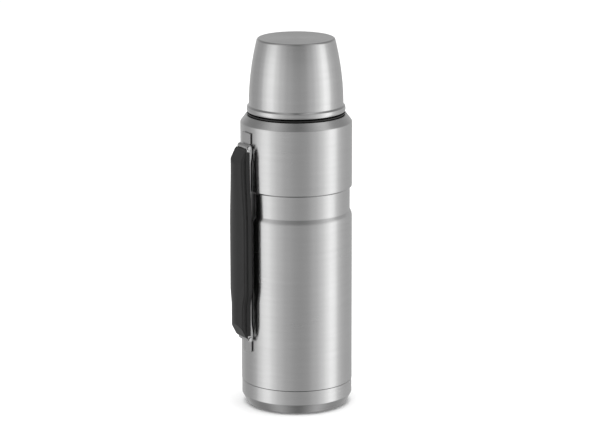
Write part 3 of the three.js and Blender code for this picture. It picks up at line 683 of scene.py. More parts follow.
class FLASK_OT_shell(bpy.types.Operator):
    """Outer steel shell: straight body, recessed band, conical shoulder and neck"""

    bl_idname = "flask.shell"
    bl_label = "Outer shell"

    def execute(self, context):
        s = sizes()
        body = radius_of("outer_shell")
        low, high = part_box("outer_shell")[0][2], top("outer_shell")
        spigot = body - 1.5 * MM
        spigot_top = top("base_cap") + 0.1 * MM
        wall = s.sheet
        corners = [
            (spigot, low, 0.2 * MM),
            (spigot, spigot_top, 0.1 * MM),
            (body, spigot_top + 0.35 * MM, 0.25 * MM),
            (body, s.band_foot, 8 * MM),
            (s.band_radius, s.band_low, 1.2 * MM),
            (s.band_radius, s.band_high, 0.35 * MM),
            (body, s.band_head, 0.7 * MM),
            (body, s.shoulder, 1.8 * MM),
            (s.shoulder_top_radius, s.ledge - 0.2 * MM, 0.5 * MM),
            (s.neck_radius + 0.8 * MM, s.ledge, 0.2 * MM),
            (s.neck_radius, s.ledge + 0.8 * MM, 0.3 * MM),
            (s.neck_radius, high, 0.2 * MM),
            (s.neck_radius - wall, high, 0.2 * MM),
            (s.neck_radius - wall, s.ledge - wall, 0.3 * MM),
            (s.shoulder_top_radius - 0.9 * MM, s.ledge - wall, 0.5 * MM),
            (body - wall, s.shoulder - 0.3 * MM, 1.5 * MM),
            (body - wall, s.band_head + 0.5 * MM, 0.5 * MM),
            (s.band_radius - wall, s.band_high + 0.5 * MM, 0.5 * MM),
            (s.band_radius - wall, s.band_low - 0.5 * MM, 1 * MM),
            (body - wall, s.band_foot - 0.5 * MM, 1 * MM),
            (body - wall, spigot_top + 1.3 * MM, 0.3 * MM),
            (spigot - wall, spigot_top + 0.8 * MM, 0.3 * MM),
            (spigot - wall, low, 0.2 * MM),
        ]
        piece = solid("shell_skin", turned(rounded(corners), s.sides))
        finish_piece(piece, "flask", "brushed_steel", ["outer_shell"])
        return {"FINISHED"}


class FLASK_OT_base(bpy.types.Operator):
    """Base cap with its chamfer, foot ring and recessed underside"""

    bl_idname = "flask.base"
    bl_label = "Base cap"

    def execute(self, context):
        s = sizes()
        outer, height = radius_of("base_cap"), top("base_cap")
        inner = outer - 0.9 * MM
        wall = 0.8 * MM
        foot, recess = s.foot_radius, s.foot_radius - 4.8 * MM
        corners = [
            (0, 1.2 * MM),
            (recess, 1.2 * MM, 0.5 * MM),
            (recess + MM, 0, 0.4 * MM),
            (foot, 0, 0.5 * MM),
            (foot + 2.08 * MM, 0.95 * MM, 1.2 * MM),
            (outer, s.foot_chamfer, 1.4 * MM),
            (outer, height, 0.22 * MM),
            (inner, height, 0.2 * MM),
            (inner, s.foot_chamfer + 0.2 * MM, 0.5 * MM),
            (foot + 1.35 * MM, 0.95 * MM + wall, 0.5 * MM),
            (foot - 0.3 * MM, wall, 0.3 * MM),
            (recess + 1.3 * MM, wall, 0.3 * MM),
            (recess + 0.3 * MM, 1.2 * MM + wall, 0.3 * MM),
            (0, 1.2 * MM + wall),
        ]
        piece = solid("base_skin", turned(rounded(corners, closed=False), s.sides))
        finish_piece(piece, "flask", "brushed_steel", ["base_cap"])
        return {"FINISHED"}


class FLASK_OT_collar(bpy.types.Operator):
    """Black collar ring on the neck, with the thread for the cup"""

    bl_idname = "flask.collar"
    bl_label = "Collar"

    def execute(self, context):
        s = sizes()
        outer, low, high = radius_of("neck_collar"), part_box("neck_collar")[0][2], top("neck_collar")
        sleeve = 36.4 * MM
        inner = s.neck_radius + 0.8 * MM
        flange = low + 1.15 * MM
        below = rounded(
            [(inner, s.ledge + 0.4 * MM, 0.1 * MM), (inner + MM, low, 0.1 * MM), (outer, low, 0.3 * MM),
             (outer, flange, 0.35 * MM), (sleeve + 0.6 * MM, flange, 0.2 * MM)], closed=False)
        wall = threaded_wall(sleeve, flange + 0.4 * MM, high - 0.6 * MM, 56)
        above = rounded(
            [(sleeve, high - 0.5 * MM), (sleeve - 0.3 * MM, high, 0.1 * MM), (inner, high)], closed=False)
        thread = helix(sleeve, low + 2.6 * MM, THREAD_TURNS, s.thread_pitch, THREAD_HEIGHT)
        piece = solid("collar_ring", turned(np.vstack([below, wall, above]), s.sides, thread))
        finish_piece(piece, "flask", "black_plastic", ["neck_collar"])
        return {"FINISHED"}


class FLASK_OT_vessel(bpy.types.Operator):
    """Inner vessel with its rolled thread, and the pieces sealed in the vacuum space"""

    bl_idname = "flask.vessel"
    bl_label = "Inner vessel"

    def execute(self, context):
        s = sizes()
        outer, low, high = radius_of("inner_vessel"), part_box("inner_vessel")[0][2], top("inner_vessel")
        wall = 0.7 * MM
        mouth, neck = s.mouth_radius, s.mouth_radius + wall
        lip = s.neck_radius
        outside = rounded(
            [(0, low), (outer, low, 8 * MM), (outer, 236 * MM, 3 * MM), (neck, 247.5 * MM, 3 * MM),
             (neck, high - 0.8 * MM, 0.3 * MM), (lip, high - 0.8 * MM, 0.3 * MM), (lip, high, 0.35 * MM),
             (mouth, high, 0.7 * MM), (mouth, high - 2.5 * MM)], closed=False, steps=8)
        grooved = threaded_wall(mouth, high - 3 * MM, 249.5 * MM, 56)
        inside = rounded(
            [(mouth, 249 * MM), (mouth, 247.2 * MM, 2 * MM), (outer - wall, 235.6 * MM, 3 * MM),
             (outer - wall, low + wall, 8 * MM), (0, low + wall)], closed=False, steps=8)
        thread = helix(mouth, 251.5 * MM, THREAD_TURNS, s.thread_pitch, -THREAD_HEIGHT)
        piece = solid("vessel_skin", turned(np.vstack([outside, grooved, inside]), s.sides, thread))
        finish_piece(piece, "flask", "polished_steel", ["inner_vessel"])
        self.foil()
        self.foot_pieces()
        return {"FINISHED"}

    def foil(self):
        """Wrapped foil: its radius ripples a little round the vessel and along it."""
        (_, _, low), (outer, _, high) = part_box("radiation_foil")
        thin = 0.12 * MM
        heights = np.linspace(low, high, 60)
        outline = np.vstack([np.stack([np.full(60, outer - thin), heights], -1),
                             np.stack([np.full(60, outer - 2 * thin), heights[::-1]], -1)])

        def ripple(a, r, h):
            return 0.00005 * np.sin(23 * a + 140 * h) * np.sin(9 * a - 210 * h)

        piece = solid("foil_wrap", turned(outline, 180, ripple))
        finish_piece(piece, "flask", "copper_foil", ["radiation_foil"])

    def foot_pieces(self):
        """Bottom plate with its pumping hole, the glass bead in it, and the getter ring."""
        (_, _, low), (outer, _, _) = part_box("bottom_plate")
        dish = low + 2 * MM
        sheet = 0.8 * MM
        hole = 1.6 * MM
        plate = [
            (hole, dish - 0.8 * MM, 0.1 * MM), (4.5 * MM, dish - 0.8 * MM, 0.5 * MM),
            (5.5 * MM, dish, 0.5 * MM), (34 * MM, dish, 1.2 * MM), (37 * MM, low, 1.2 * MM),
            (outer, low, 0.2 * MM), (outer, low + sheet, 0.2 * MM), (37.4 * MM, low + sheet, 1 * MM),
            (34.4 * MM, dish + sheet, 1 * MM), (5.1 * MM, dish + sheet, 0.4 * MM), (4.1 * MM, dish, 0.4 * MM),
            (hole, dish, 0.1 * MM),
        ]
        piece = solid("bottom_plate_skin", turned(rounded(plate), 128))
        finish_piece(piece, "flask", "raw_steel", ["bottom_plate"])
        (_, _, low), (_, _, high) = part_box("seal_bead")
        face = low + 1.2 * MM
        bead = [(0, low), (2.7 * MM, low + 0.2 * MM, 0.8 * MM), (2.9 * MM, face, 0.3 * MM),
                (1.3 * MM, face, 0.1 * MM), (1.3 * MM, high, 0.2 * MM), (0, high)]
        piece = solid("glass_bead", turned(rounded(bead, closed=False), 48))
        finish_piece(piece, "flask", "solder_glass", ["seal_bead"])
        (_, _, low), (outer, _, high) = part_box("getter_ring")
        ring = ring_section(11 * MM, outer - 0.2 * MM, low, high, 0.5 * MM)
        finish_piece(solid("getter_band", turned(ring, 96)), "flask", "getter_metal", ["getter_ring"])


# ------------------------------------------------------------------ cup lid


def cup_wall(heights, inset):
    """Radius of the cup's wall at some heights: the lean grows as a power of the height."""
    s = sizes()
    foot, head = 263.6 * MM, 314.6 * MM
    t = np.clip((heights - foot) / (head - foot), 0, None)
    return s.cup_wall_radius - s.cup_taper * t**1.87 - inset


class FLASK_OT_cup(bpy.types.Operator):
    """Cup lid: steel outer with a bead round its rim, and a threaded plastic liner"""

    bl_idname = "flask.cup"
    bl_label = "Cup lid"

    def execute(self, context):
        s = sizes()
        (_, _, rim), (outer, _, high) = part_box("cup_shell")
        bead = rim + s.cup_bead
        foot = bead + 2.8 * MM
        sheet = 0.7 * MM
        edge = s.cup_edge
        up = np.linspace(foot, 313.7 * MM, 26)
        wall = np.stack([cup_wall(up, 0), up], -1)
        inner_wall = np.stack([cup_wall(up, sheet), up], -1)[::-1]
        lip = rounded(
            [(outer - sheet, rim + 0.1 * MM, 0.2 * MM), (outer - 0.35 * MM, rim, 0.3 * MM),
             (outer, rim + 1.3 * MM, 1.0 * MM), (outer - 0.22 * MM, bead - 0.5 * MM, 0.7 * MM),
             (outer - 1.25 * MM, bead + 0.45 * MM, 0.6 * MM),
             (s.cup_wall_radius + 0.12 * MM, bead + 0.9 * MM, 0.5 * MM), tuple(wall[0])], closed=False)
        corner = cup_wall(np.array([high]), 0)[0]
        crown = rounded(
            [tuple(wall[-1]), (corner - 0.05 * MM, high, edge), (corner - 5 * MM, high - 0.02 * MM, 2 * MM),
             (0, high)], closed=False, steps=10)
        under = rounded(
            [(0, high - sheet), (corner - sheet, high - sheet, edge), tuple(inner_wall[0])],
            closed=False, steps=8)
        inside = rounded(
            [tuple(inner_wall[-1]), (s.cup_wall_radius + 0.1 * MM - sheet, bead + 0.6 * MM, 0.3 * MM),
             (outer - 0.3 * MM - sheet, bead - 0.4 * MM, 0.5 * MM),
             (outer - sheet - 0.1 * MM, rim + 0.3 * MM)], closed=False)
        ring = np.vstack([lip, wall[1:-1], crown, under, inner_wall[1:-1], inside])
        start = int(np.argmin(ring[:, 0]))
        ring = np.vstack([ring[start + 1:], ring[: start + 1]])
        piece = solid("cup_skin", turned(ring, s.sides))
        finish_piece(piece, "cup", "brushed_steel", ["cup_shell"], "cup_steel")
        self.liner(rim, sheet + 0.3 * MM)
        return {"FINISHED"}

    def liner(self, rim, gap):
        """Liner: follows the steel outside, with the thread inside its mouth."""
        s = sizes()
        (_, _, low), (outer, _, high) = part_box("cup_liner")
        thick = 1.2 * MM
        thread_wall = 38.4 * MM
        up = np.linspace(264.1 * MM, 312.9 * MM, 20)
        wall = np.stack([cup_wall(up, gap), up], -1)
        deep = np.linspace(312.4 * MM, 272.6 * MM, 18)
        inner = np.stack([cup_wall(deep, gap + thick), deep], -1)
        corner = cup_wall(np.array([high]), gap)[0]
        lip = rounded(
            [(thread_wall, low + 0.4 * MM), (thread_wall + 0.4 * MM, low, 0.2 * MM), (outer, low, 0.3 * MM),
             (outer, 259.8 * MM, 0.4 * MM), (s.cup_wall_radius + 0.1 * MM - gap, 260.9 * MM, 0.4 * MM),
             tuple(wall[0])], closed=False)
        head, turn_in = corner - 0.9 * MM, 1.6 * MM
        crown = rounded([tuple(wall[-1]), (head, high, turn_in), (0, high)], closed=False, steps=8)
        under = rounded(
            [(0, high - thick), (head - thick, high - thick, turn_in), tuple(inner[0])],
            closed=False, steps=8)
        step = rounded(
            [tuple(inner[-1]), (thread_wall - 0.5 * MM, 270.9 * MM, 0.8 * MM), (thread_wall, 270.1 * MM)],
            closed=False)
        grooved = threaded_wall(thread_wall, 269.7 * MM, low + 0.9 * MM, 56)
        outline = np.vstack([under, inner[1:-1], step, grooved, lip, wall[1:-1], crown])
        thread = helix(thread_wall, 259.7 * MM, THREAD_TURNS, s.thread_pitch, -0.5 * MM)
        piece = solid("liner_cup", turned(outline, s.sides, thread))
        finish_piece(piece, "cup", "black_plastic", ["cup_liner"])


# ------------------------------------------------------------------ stopper, knob and valve


def arc_block(inner, outer, low, high, start, end, steps):
    """Closed piece of a ring between two angles: its section carried round part of a turn."""
    angle = np.linspace(start, end, steps)[:, None]
    r = np.array([inner, outer, outer, inner])[None, :]
    h = np.array([low, low, high, high])[None, :]
    return lofted(np.stack([r * np.cos(angle), r * np.sin(angle), np.broadcast_to(h, (steps, 4))], -1))


class FLASK_OT_stopper(bpy.types.Operator):
    """Stopper with its thread, flange and pouring slots, its knob, valve and seals"""

    bl_idname = "flask.stopper"
    bl_label = "Stopper"

    def execute(self, context):
        self.body()
        self.seat()
        self.spout()
        self.knob()
        self.sleeve()
        self.valve()
        self.seals()
        return {"FINISHED"}

    def body(self):
        """Plug and flange turned in one, open at both ends, with the helical thread."""
        s = sizes()
        (_, _, low), (flange, _, high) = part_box("stopper_body")
        plug, bore = 25.6 * MM, 23.2 * MM
        flange_low = high - 3.6 * MM
        outside = rounded(
            [(bore, low + 0.4 * MM), (bore + 0.4 * MM, low, 0.2 * MM), (plug, low, 1.6 * MM),
             (plug, 238 * MM)], closed=False)
        grooved = threaded_wall(plug, 250.5 * MM, 264.5 * MM, 60)
        rest = rounded(
            [(plug, 265 * MM), (plug, flange_low, 0.5 * MM), (flange, flange_low, 0.6 * MM),
             (flange, high, 0.8 * MM), (bore, high, 0.6 * MM), (bore, low + MM)], closed=False)
        thread = helix(plug, 253.6 * MM, THREAD_TURNS, s.thread_pitch, THREAD_HEIGHT)
        piece = solid("stopper_plug", turned(np.vstack([outside, grooved, rest]), s.sides, thread))
        finish_piece(piece, "stopper", "black_plastic", ["stopper_body"])

    def seat(self):
        """Dish in the plug's foot, with a raised lip round the hole that the valve closes."""
        (_, _, low), (outer, _, high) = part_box("valve_seat")
        hole, wall, floor, lip = 7 * MM, 1.2 * MM, low + 2 * MM, low + 2.4 * MM
        section = [
            (hole, low, 0.4 * MM), (outer, low, 0.5 * MM), (outer, high, 0.3 * MM),
            (outer - wall, high, 0.3 * MM), (outer - wall, floor, 0.8 * MM), (11 * MM, floor, 0.3 * MM),
            (10.6 * MM, lip, 0.2 * MM), (hole, lip, 0.3 * MM),
        ]
        piece = solid("seat_dish", turned(rounded(section), 128))
        finish_piece(piece, "stopper", "black_plastic", ["valve_seat"])

    def spout(self):
        """Spout ring: a foot and a rim, joined by two curved walls with a pouring slot between."""
        s = sizes()
        (_, _, low), (foot, _, high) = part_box("spout_ring")
        inner, outer = 28.4 * MM, 30.4 * MM
        slot_low, slot_high = 272.6 * MM, 277.6 * MM
        base = rounded(
            [(inner, low, 0.2 * MM), (foot, low, 0.3 * MM), (foot, slot_low, 0.3 * MM),
             (inner, slot_low, 0.2 * MM)])
        rim = rounded(
            [(inner, slot_high, 0.15 * MM), (outer, slot_high, 0.15 * MM), (outer, high, 0.3 * MM),
             (inner, high, 0.3 * MM)])
        half_slot = math.asin(9 * MM / outer)
        walls = [
            arc_block(inner, outer, slot_low - 0.2 * MM, slot_high + 0.2 * MM,
                      middle - math.pi / 2 + half_slot, middle + math.pi / 2 - half_slot, 48)
            for middle in (math.pi / 2, -math.pi / 2)
        ]
        piece = solid("spout", turned(base, s.sides), turned(rim, s.sides), *walls)
        finish_piece(piece, "stopper", "black_plastic", ["spout_ring"])

    def knob(self):
        """Knob with a knurled skirt and a raised wing to turn it by."""
        (_, _, low), (outer, _, high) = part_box("pour_knob")
        deck = high - 6 * MM
        wall = 2 * MM
        plain = outer - 0.25 * MM
        skirt = threaded_wall(plain, low + 0.5 * MM, deck - 1.3 * MM, 12)
        outline = np.vstack([
            rounded([(0, deck - wall), (outer - wall, deck - wall, 0.5 * MM), (outer - wall, low, 0.2 * MM),
                     (plain, low, 0.4 * MM), tuple(skirt[0])], closed=False),
            skirt[1:-1],
            rounded([tuple(skirt[-1]), (plain, deck, 1 * MM), (0, deck)], closed=False),
        ])

        def knurl(a, r, h):
            rim = np.clip((r - (outer - 1.0 * MM)) / (0.6 * MM), 0, 1)
            return rim * 0.25 * MM * np.cos(60 * a) * np.clip((h - low) / (0.8 * MM), 0, 1)

        cap = turned(outline, 480, knurl)
        reach, half = outer - 3 * MM, 3.5 * MM
        along = np.linspace(0, TURN, 97)[:-1]
        oval = np.stack([reach * np.sign(np.cos(along)) * np.abs(np.cos(along)) ** 0.5,
                         half * np.sign(np.sin(along)) * np.abs(np.sin(along)) ** 0.35], -1)
        rows = [(1.0, deck - 0.3 * MM), (1.0, high - 1.4 * MM), (0.985, high - 0.6 * MM),
                (0.95, high - 0.15 * MM), (0.88, high)]
        wing = lofted(np.stack([
            np.stack([oval[:, 0] - np.sign(oval[:, 0]) * (1 - scale) * half, oval[:, 1] * scale,
                      np.full(96, z)], -1)
            for scale, z in rows]))
        finish_piece(solid("knob_cap", cap, wing), "knob", "black_plastic", ["pour_knob"])

    def sleeve(self):
        """Sleeve under the knob, round the valve's stem."""
        (_, _, low), (outer, _, high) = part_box("cam_sleeve")
        piece = solid("knob_sleeve", turned(ring_section(5 * MM, outer, low, high, 0.4 * MM), 96))
        finish_piece(piece, "knob", "black_plastic", ["cam_sleeve"])

    def valve(self):
        """Stem with the valve's disc at its foot."""
        (_, _, low), (_, _, high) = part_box("valve_stem")
        disc, stem = 9.6 * MM, 4 * MM
        outline = [(0, low), (disc, low, 0.5 * MM), (disc, low + 3 * MM, 0.8 * MM),
                   (stem, low + 5 * MM, 1 * MM), (stem, high, 0.6 * MM), (0, high)]
        piece = solid("stem_and_disc", turned(rounded(outline, closed=False), 96))
        finish_piece(piece, "valve", "black_plastic", ["valve_stem"])

    def seals(self):
        """Flat ring under the flange and round-edged ring under the valve's disc."""
        for name, node, body, inner, sides in (
            ("flange_seal", "stopper_gasket", "stopper", 29 * MM, 160),
            ("valve_ring", "valve_seal", "valve", 7 * MM, 96),
        ):
            (_, _, low), (_, outer, high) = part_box(node)
            ring = ring_section(inner, outer, low, high, 0.3 * MM)
            finish_piece(solid(name, turned(ring, sides)), body, "silicone", [node])


# ------------------------------------------------------------------ handle


def handle_middle():
    """Height of the handle's middle, from the two hinge pins."""
    return (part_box("upper_hinge_pin")[1][2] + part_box("lower_hinge_pin")[0][2]) / 2


def side_plane(out, up, across):
    """Outline (out, up) carried across the handle: out is -X and across is -Y."""
    return -out, -across, up


def face_plane(across, up, out):
    """Outline (across, up) carried outwards."""
    return -out, -across, up


def pin(outline, out, up):
    """Turned piece laid across the handle."""
    return turned(outline, 64, across=(-out, up))


def leg_height(end, along):
    """Height so far along a leg from its pivot: end is 1 for the upper leg, -1 for the lower."""
    return handle_middle() + end * (handle_sizes().pivot_up + along)


class FLASK_OT_mounting(bpy.types.Operator):
    """Steel strip down the flask's side, with a rolled barrel at each pivot"""

    bl_idname = "flask.mounting"
    bl_label = "Mounting strip"

    def execute(self, context):
        h = handle_sizes()
        (_, _, low), (_, half, high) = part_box("mounting_plate")
        inner, outer = 47.8 * MM, 49.0 * MM
        notch, barrel_half = h.knuckle + 0.4 * MM, 4.6 * MM
        pivots = [leg_height(end, 0) for end in (-1, 1)]
        right = [(half, low, 0.7 * MM)]
        for up in pivots:
            right += [(half, up - notch, 0.3 * MM), (barrel_half, up - notch, 0.3 * MM),
                      (barrel_half, up + notch, 0.3 * MM), (half, up + notch, 0.3 * MM)]
        right.append((half, high, 0.7 * MM))
        left = [(-across, up, radius) for across, up, radius in right[::-1]]
        strip = slab(rounded(right + left, steps=4), inner, outer, face_plane)
        barrel = rounded([(0, -barrel_half), (h.knuckle, -barrel_half, 0.25 * MM),
                          (h.knuckle, barrel_half, 0.25 * MM), (0, barrel_half)], closed=False)
        barrels = [pin(barrel, h.pivot_out, up) for up in pivots]
        piece = solid("mounting_strip", strip, *barrels, bevel=0.18 * MM)
        finish_piece(piece, "flask", "brushed_steel", ["mounting_plate"], "strip_steel")
        return {"FINISHED"}


class FLASK_OT_legs(bpy.types.Operator):
    """The two folded steel legs with their hinge pins and slide pins"""

    bl_idname = "flask.legs"
    bl_label = "Legs and pins"

    def execute(self, context):
        for name, end in (("upper", 1), ("lower", -1)):
            finish_piece(self.leg(name, end), f"{name}_leg", "polished_steel", [f"{name}_leg"])
            finish_piece(self.hinge_pin(name, end), "flask", "polished_steel", [f"{name}_hinge_pin"])
            finish_piece(self.slide_pin(name, end), f"{name}_leg", "polished_steel", [f"{name}_slide_pin"])
        return {"FINISHED"}

    def half_width(self, along):
        """Half the leg's width, from its root, where along is 0, towards its tip."""
        root, narrowing, behind, length = 8.3, 1.5, 3.4, 44.2
        return (root - narrowing * (along / MM + behind) / length) * MM

    def leg(self, name, end):
        """Channel section carried along the leg, with two ears and barrels at the pivot.

        The section is a U: two cheeks joined by a web with rounded outer corners. Its depth
        and width change evenly along the leg.
        """
        h = handle_sizes()
        sheet = h.leg_sheet
        tip_radius = 2 * MM
        along = np.concatenate([[9.6], np.linspace(10, 36, 22), [37, 38, 38.7, 39.2, 39.5, 39.7]]) * MM
        run = np.clip(along, 0, h.leg_run)
        web_out = h.pivot_out + h.knuckle + (h.leg_rise + tip_radius - h.knuckle) * run / h.leg_run
        heel_rise = (51.95 - HEEL_ROOT) * MM
        heel_out = HEEL_ROOT * MM + heel_rise * (along - 3 * MM) / (34.8 * MM)
        past = np.clip((along - h.leg_run) / tip_radius, 0, 0.98)
        round_off = tip_radius * (1 - np.sqrt(1 - past**2))
        web_out = web_out - round_off
        heel_out = np.maximum(heel_out, 0) + round_off
        half = self.half_width(along)
        corner = 1.3 * MM
        bend = np.linspace(0, math.pi / 2, 7)[1:]

        def bent_corner(x, y, radius):
            return [(x - radius + radius * math.cos(a), y - radius + radius * math.sin(a)) for a in bend]

        rows = []
        for w, low, high in zip(half, heel_out, web_out):
            turn_in = np.minimum(corner, (high - low) * 0.45)
            outer = [(w, low + 0.1 * MM), (w, high - turn_in)]
            outer += bent_corner(w, high, turn_in)
            small = 0.25 * turn_in
            inner_w, inner_high = w - sheet, max(high - sheet, low + 0.2 * MM)
            inner = [(inner_w, low + 0.1 * MM), (inner_w, inner_high - small)]
            inner += bent_corner(inner_w, inner_high, small)
            left = [(-x, y) for x, y in outer[::-1]]
            back = [(-x, y) for x, y in inner]
            rows.append(outer + left + back + inner[::-1])
        rows = np.array(rows)
        up = leg_height(end, -along)
        loops = np.stack([-rows[..., 1], -rows[..., 0], np.broadcast_to(up[:, None], rows.shape[:2])], -1)
        ears = [self.ear(side, end) for side in (-1, 1)]
        return solid(f"{name}_channel", lofted(loops), *ears, *self.barrels(end), bevel=0.12 * MM)

    def ear(self, side, end):
        """Cheek round the pivot: a disc that runs out into the channel's side wall."""
        h = handle_sizes()
        angle = np.linspace(math.pi, 0, 25)
        ring = np.stack([h.pivot_out + h.knuckle * np.cos(angle), h.knuckle * np.sin(angle)], -1)
        far = 11 * MM
        slope = h.leg_rise / h.leg_run
        tail = np.array([
            (h.pivot_out + h.knuckle + far * slope * 0.8, -far),
            (HEEL_ROOT * MM + (far - 3 * MM) * 0.132, -far),
            (HEEL_ROOT * MM, -3.2 * MM),
            (47.5 * MM, -2.2 * MM),
        ])
        outline = np.vstack([ring, tail])
        points = [(out, leg_height(end, 0) + end * along) for out, along in outline]
        outer = self.half_width(0) + 0.02 * MM
        inner = outer - h.leg_sheet - 0.04 * MM
        low, high = sorted((side * inner, side * outer))

        def leaning(out, up, across):
            taper = self.half_width(np.abs(up - leg_height(end, 0))) - self.half_width(0)
            shift = np.where(end * (up - leg_height(end, 0)) < 0, taper, 0)
            return side_plane(out, up, across + side * shift)

        return slab(points, low, high, leaning)

    def barrels(self, end):
        """Short rods inside the ears, either side of the strip's own barrel."""
        h = handle_sizes()
        near, far = 4.9 * MM, self.half_width(0) - 0.5 * MM
        made = []
        for low, high in ((-far, -near), (near, far)):
            rod = rounded(
                [(0, low), (h.knuckle, low, 0.2 * MM), (h.knuckle, high, 0.2 * MM), (0, high)], closed=False)
            made.append(pin(rod, h.pivot_out, leg_height(end, 0)))
        return made

    def hinge_pin(self, name, end):
        """Pin with a domed head at each end."""
        h = handle_sizes()
        shank, head, neck = 1.2 * MM, 1.9 * MM, 8.6 * MM
        half = neck + 0.7 * MM
        outline = rounded(
            [(0, -half), (head, -half + 0.1 * MM, 0.55 * MM), (head, -neck, 0.15 * MM),
             (shank, -neck, 0.1 * MM), (shank, neck, 0.1 * MM), (head, neck, 0.15 * MM),
             (head, half - 0.1 * MM, 0.55 * MM), (0, half)], closed=False)
        return solid(f"{name}_rivet", pin(outline, h.pivot_out, leg_height(end, 0)))

    def slide_pin(self, name, end):
        h = handle_sizes()
        radius, half = 1.2 * MM, 7.8 * MM
        outline = rounded(
            [(0, -half), (radius, -half, 0.3 * MM), (radius, half, 0.3 * MM), (0, half)], closed=False)
        return solid(f"{name}_slider", pin(outline, h.pivot_out + h.leg_rise, leg_height(end, -h.leg_run)))


def smooth_step(value, low, high):
    """Runs evenly curved from 0 below low to 1 above high."""
    t = np.clip((value - low) / (high - low), 0, 1)
    return t * t * (3 - 2 * t)


class Grip:
    """The grip's shape by height: half width, long edge, crown and outer limit at the ends."""

    def __init__(self, heights):
        h = handle_sizes()
        self.z = heights
        rise = smooth_step(heights, 91 * MM, 107 * MM)
        fall = smooth_step(heights, 161 * MM, 214 * MM)
        swell = np.minimum(rise, 1 - fall)
        self.half = h.end_half + (h.mid_half - h.end_half) * swell
        away = np.abs(heights - handle_middle())
        self.edge = h.edge_end + (h.edge_mid - h.edge_end) * swell
        knee, knee_out = 80.95 * MM, 54.85 * MM
        chamfer = knee_out + 0.53 * (knee - away)
        tail = knee_out - 1.14 * (away - knee)
        self.limit = np.where(away > knee, tail, chamfer)
        self.away = away
        self.crown = self.edge + h.crown

    def top(self, across, fillet, inset=0.0):
        """Distance out of the outer face at some places across it.

        A parabola falls from the crown to the long edges, which are rounded by a circle. The
        ends' chamfers cut it off, with a soft blend.
        """
        half = (self.half - inset)[:, None]
        across = np.clip(across * half, -half, half)
        parabola = (self.crown - inset)[:, None] - (self.crown - self.edge)[:, None] * (across / half) ** 2
        limit = (self.limit - inset)[:, None]
        soft = 0.35 * MM
        blend = np.clip(0.5 + (limit - parabola) / (2 * soft), 0, 1)
        flat = limit + (parabola - limit) * blend - soft * blend * (1 - blend)
        over = np.clip(np.abs(across) - (half - fillet), 0, fillet)
        return across, flat - (fillet - np.sqrt(np.maximum(fillet**2 - over**2, 0)))


def grip_heights(middle, reach, marks):
    """Heights from end to end of the grip, closer together at its ends and at some marks."""
    close = 14 * MM
    ends = reach - close * (1 - np.sin(np.linspace(0, math.pi / 2, 30)))
    body = np.linspace(0, reach - close, 60)
    extra = np.array([m + d for m in marks for d in (-0.02 * MM, 0.02 * MM)])
    away = np.unique(np.concatenate([body, ends, extra[extra < reach]]))
    return middle + np.concatenate([-away[::-1], away[1:]])


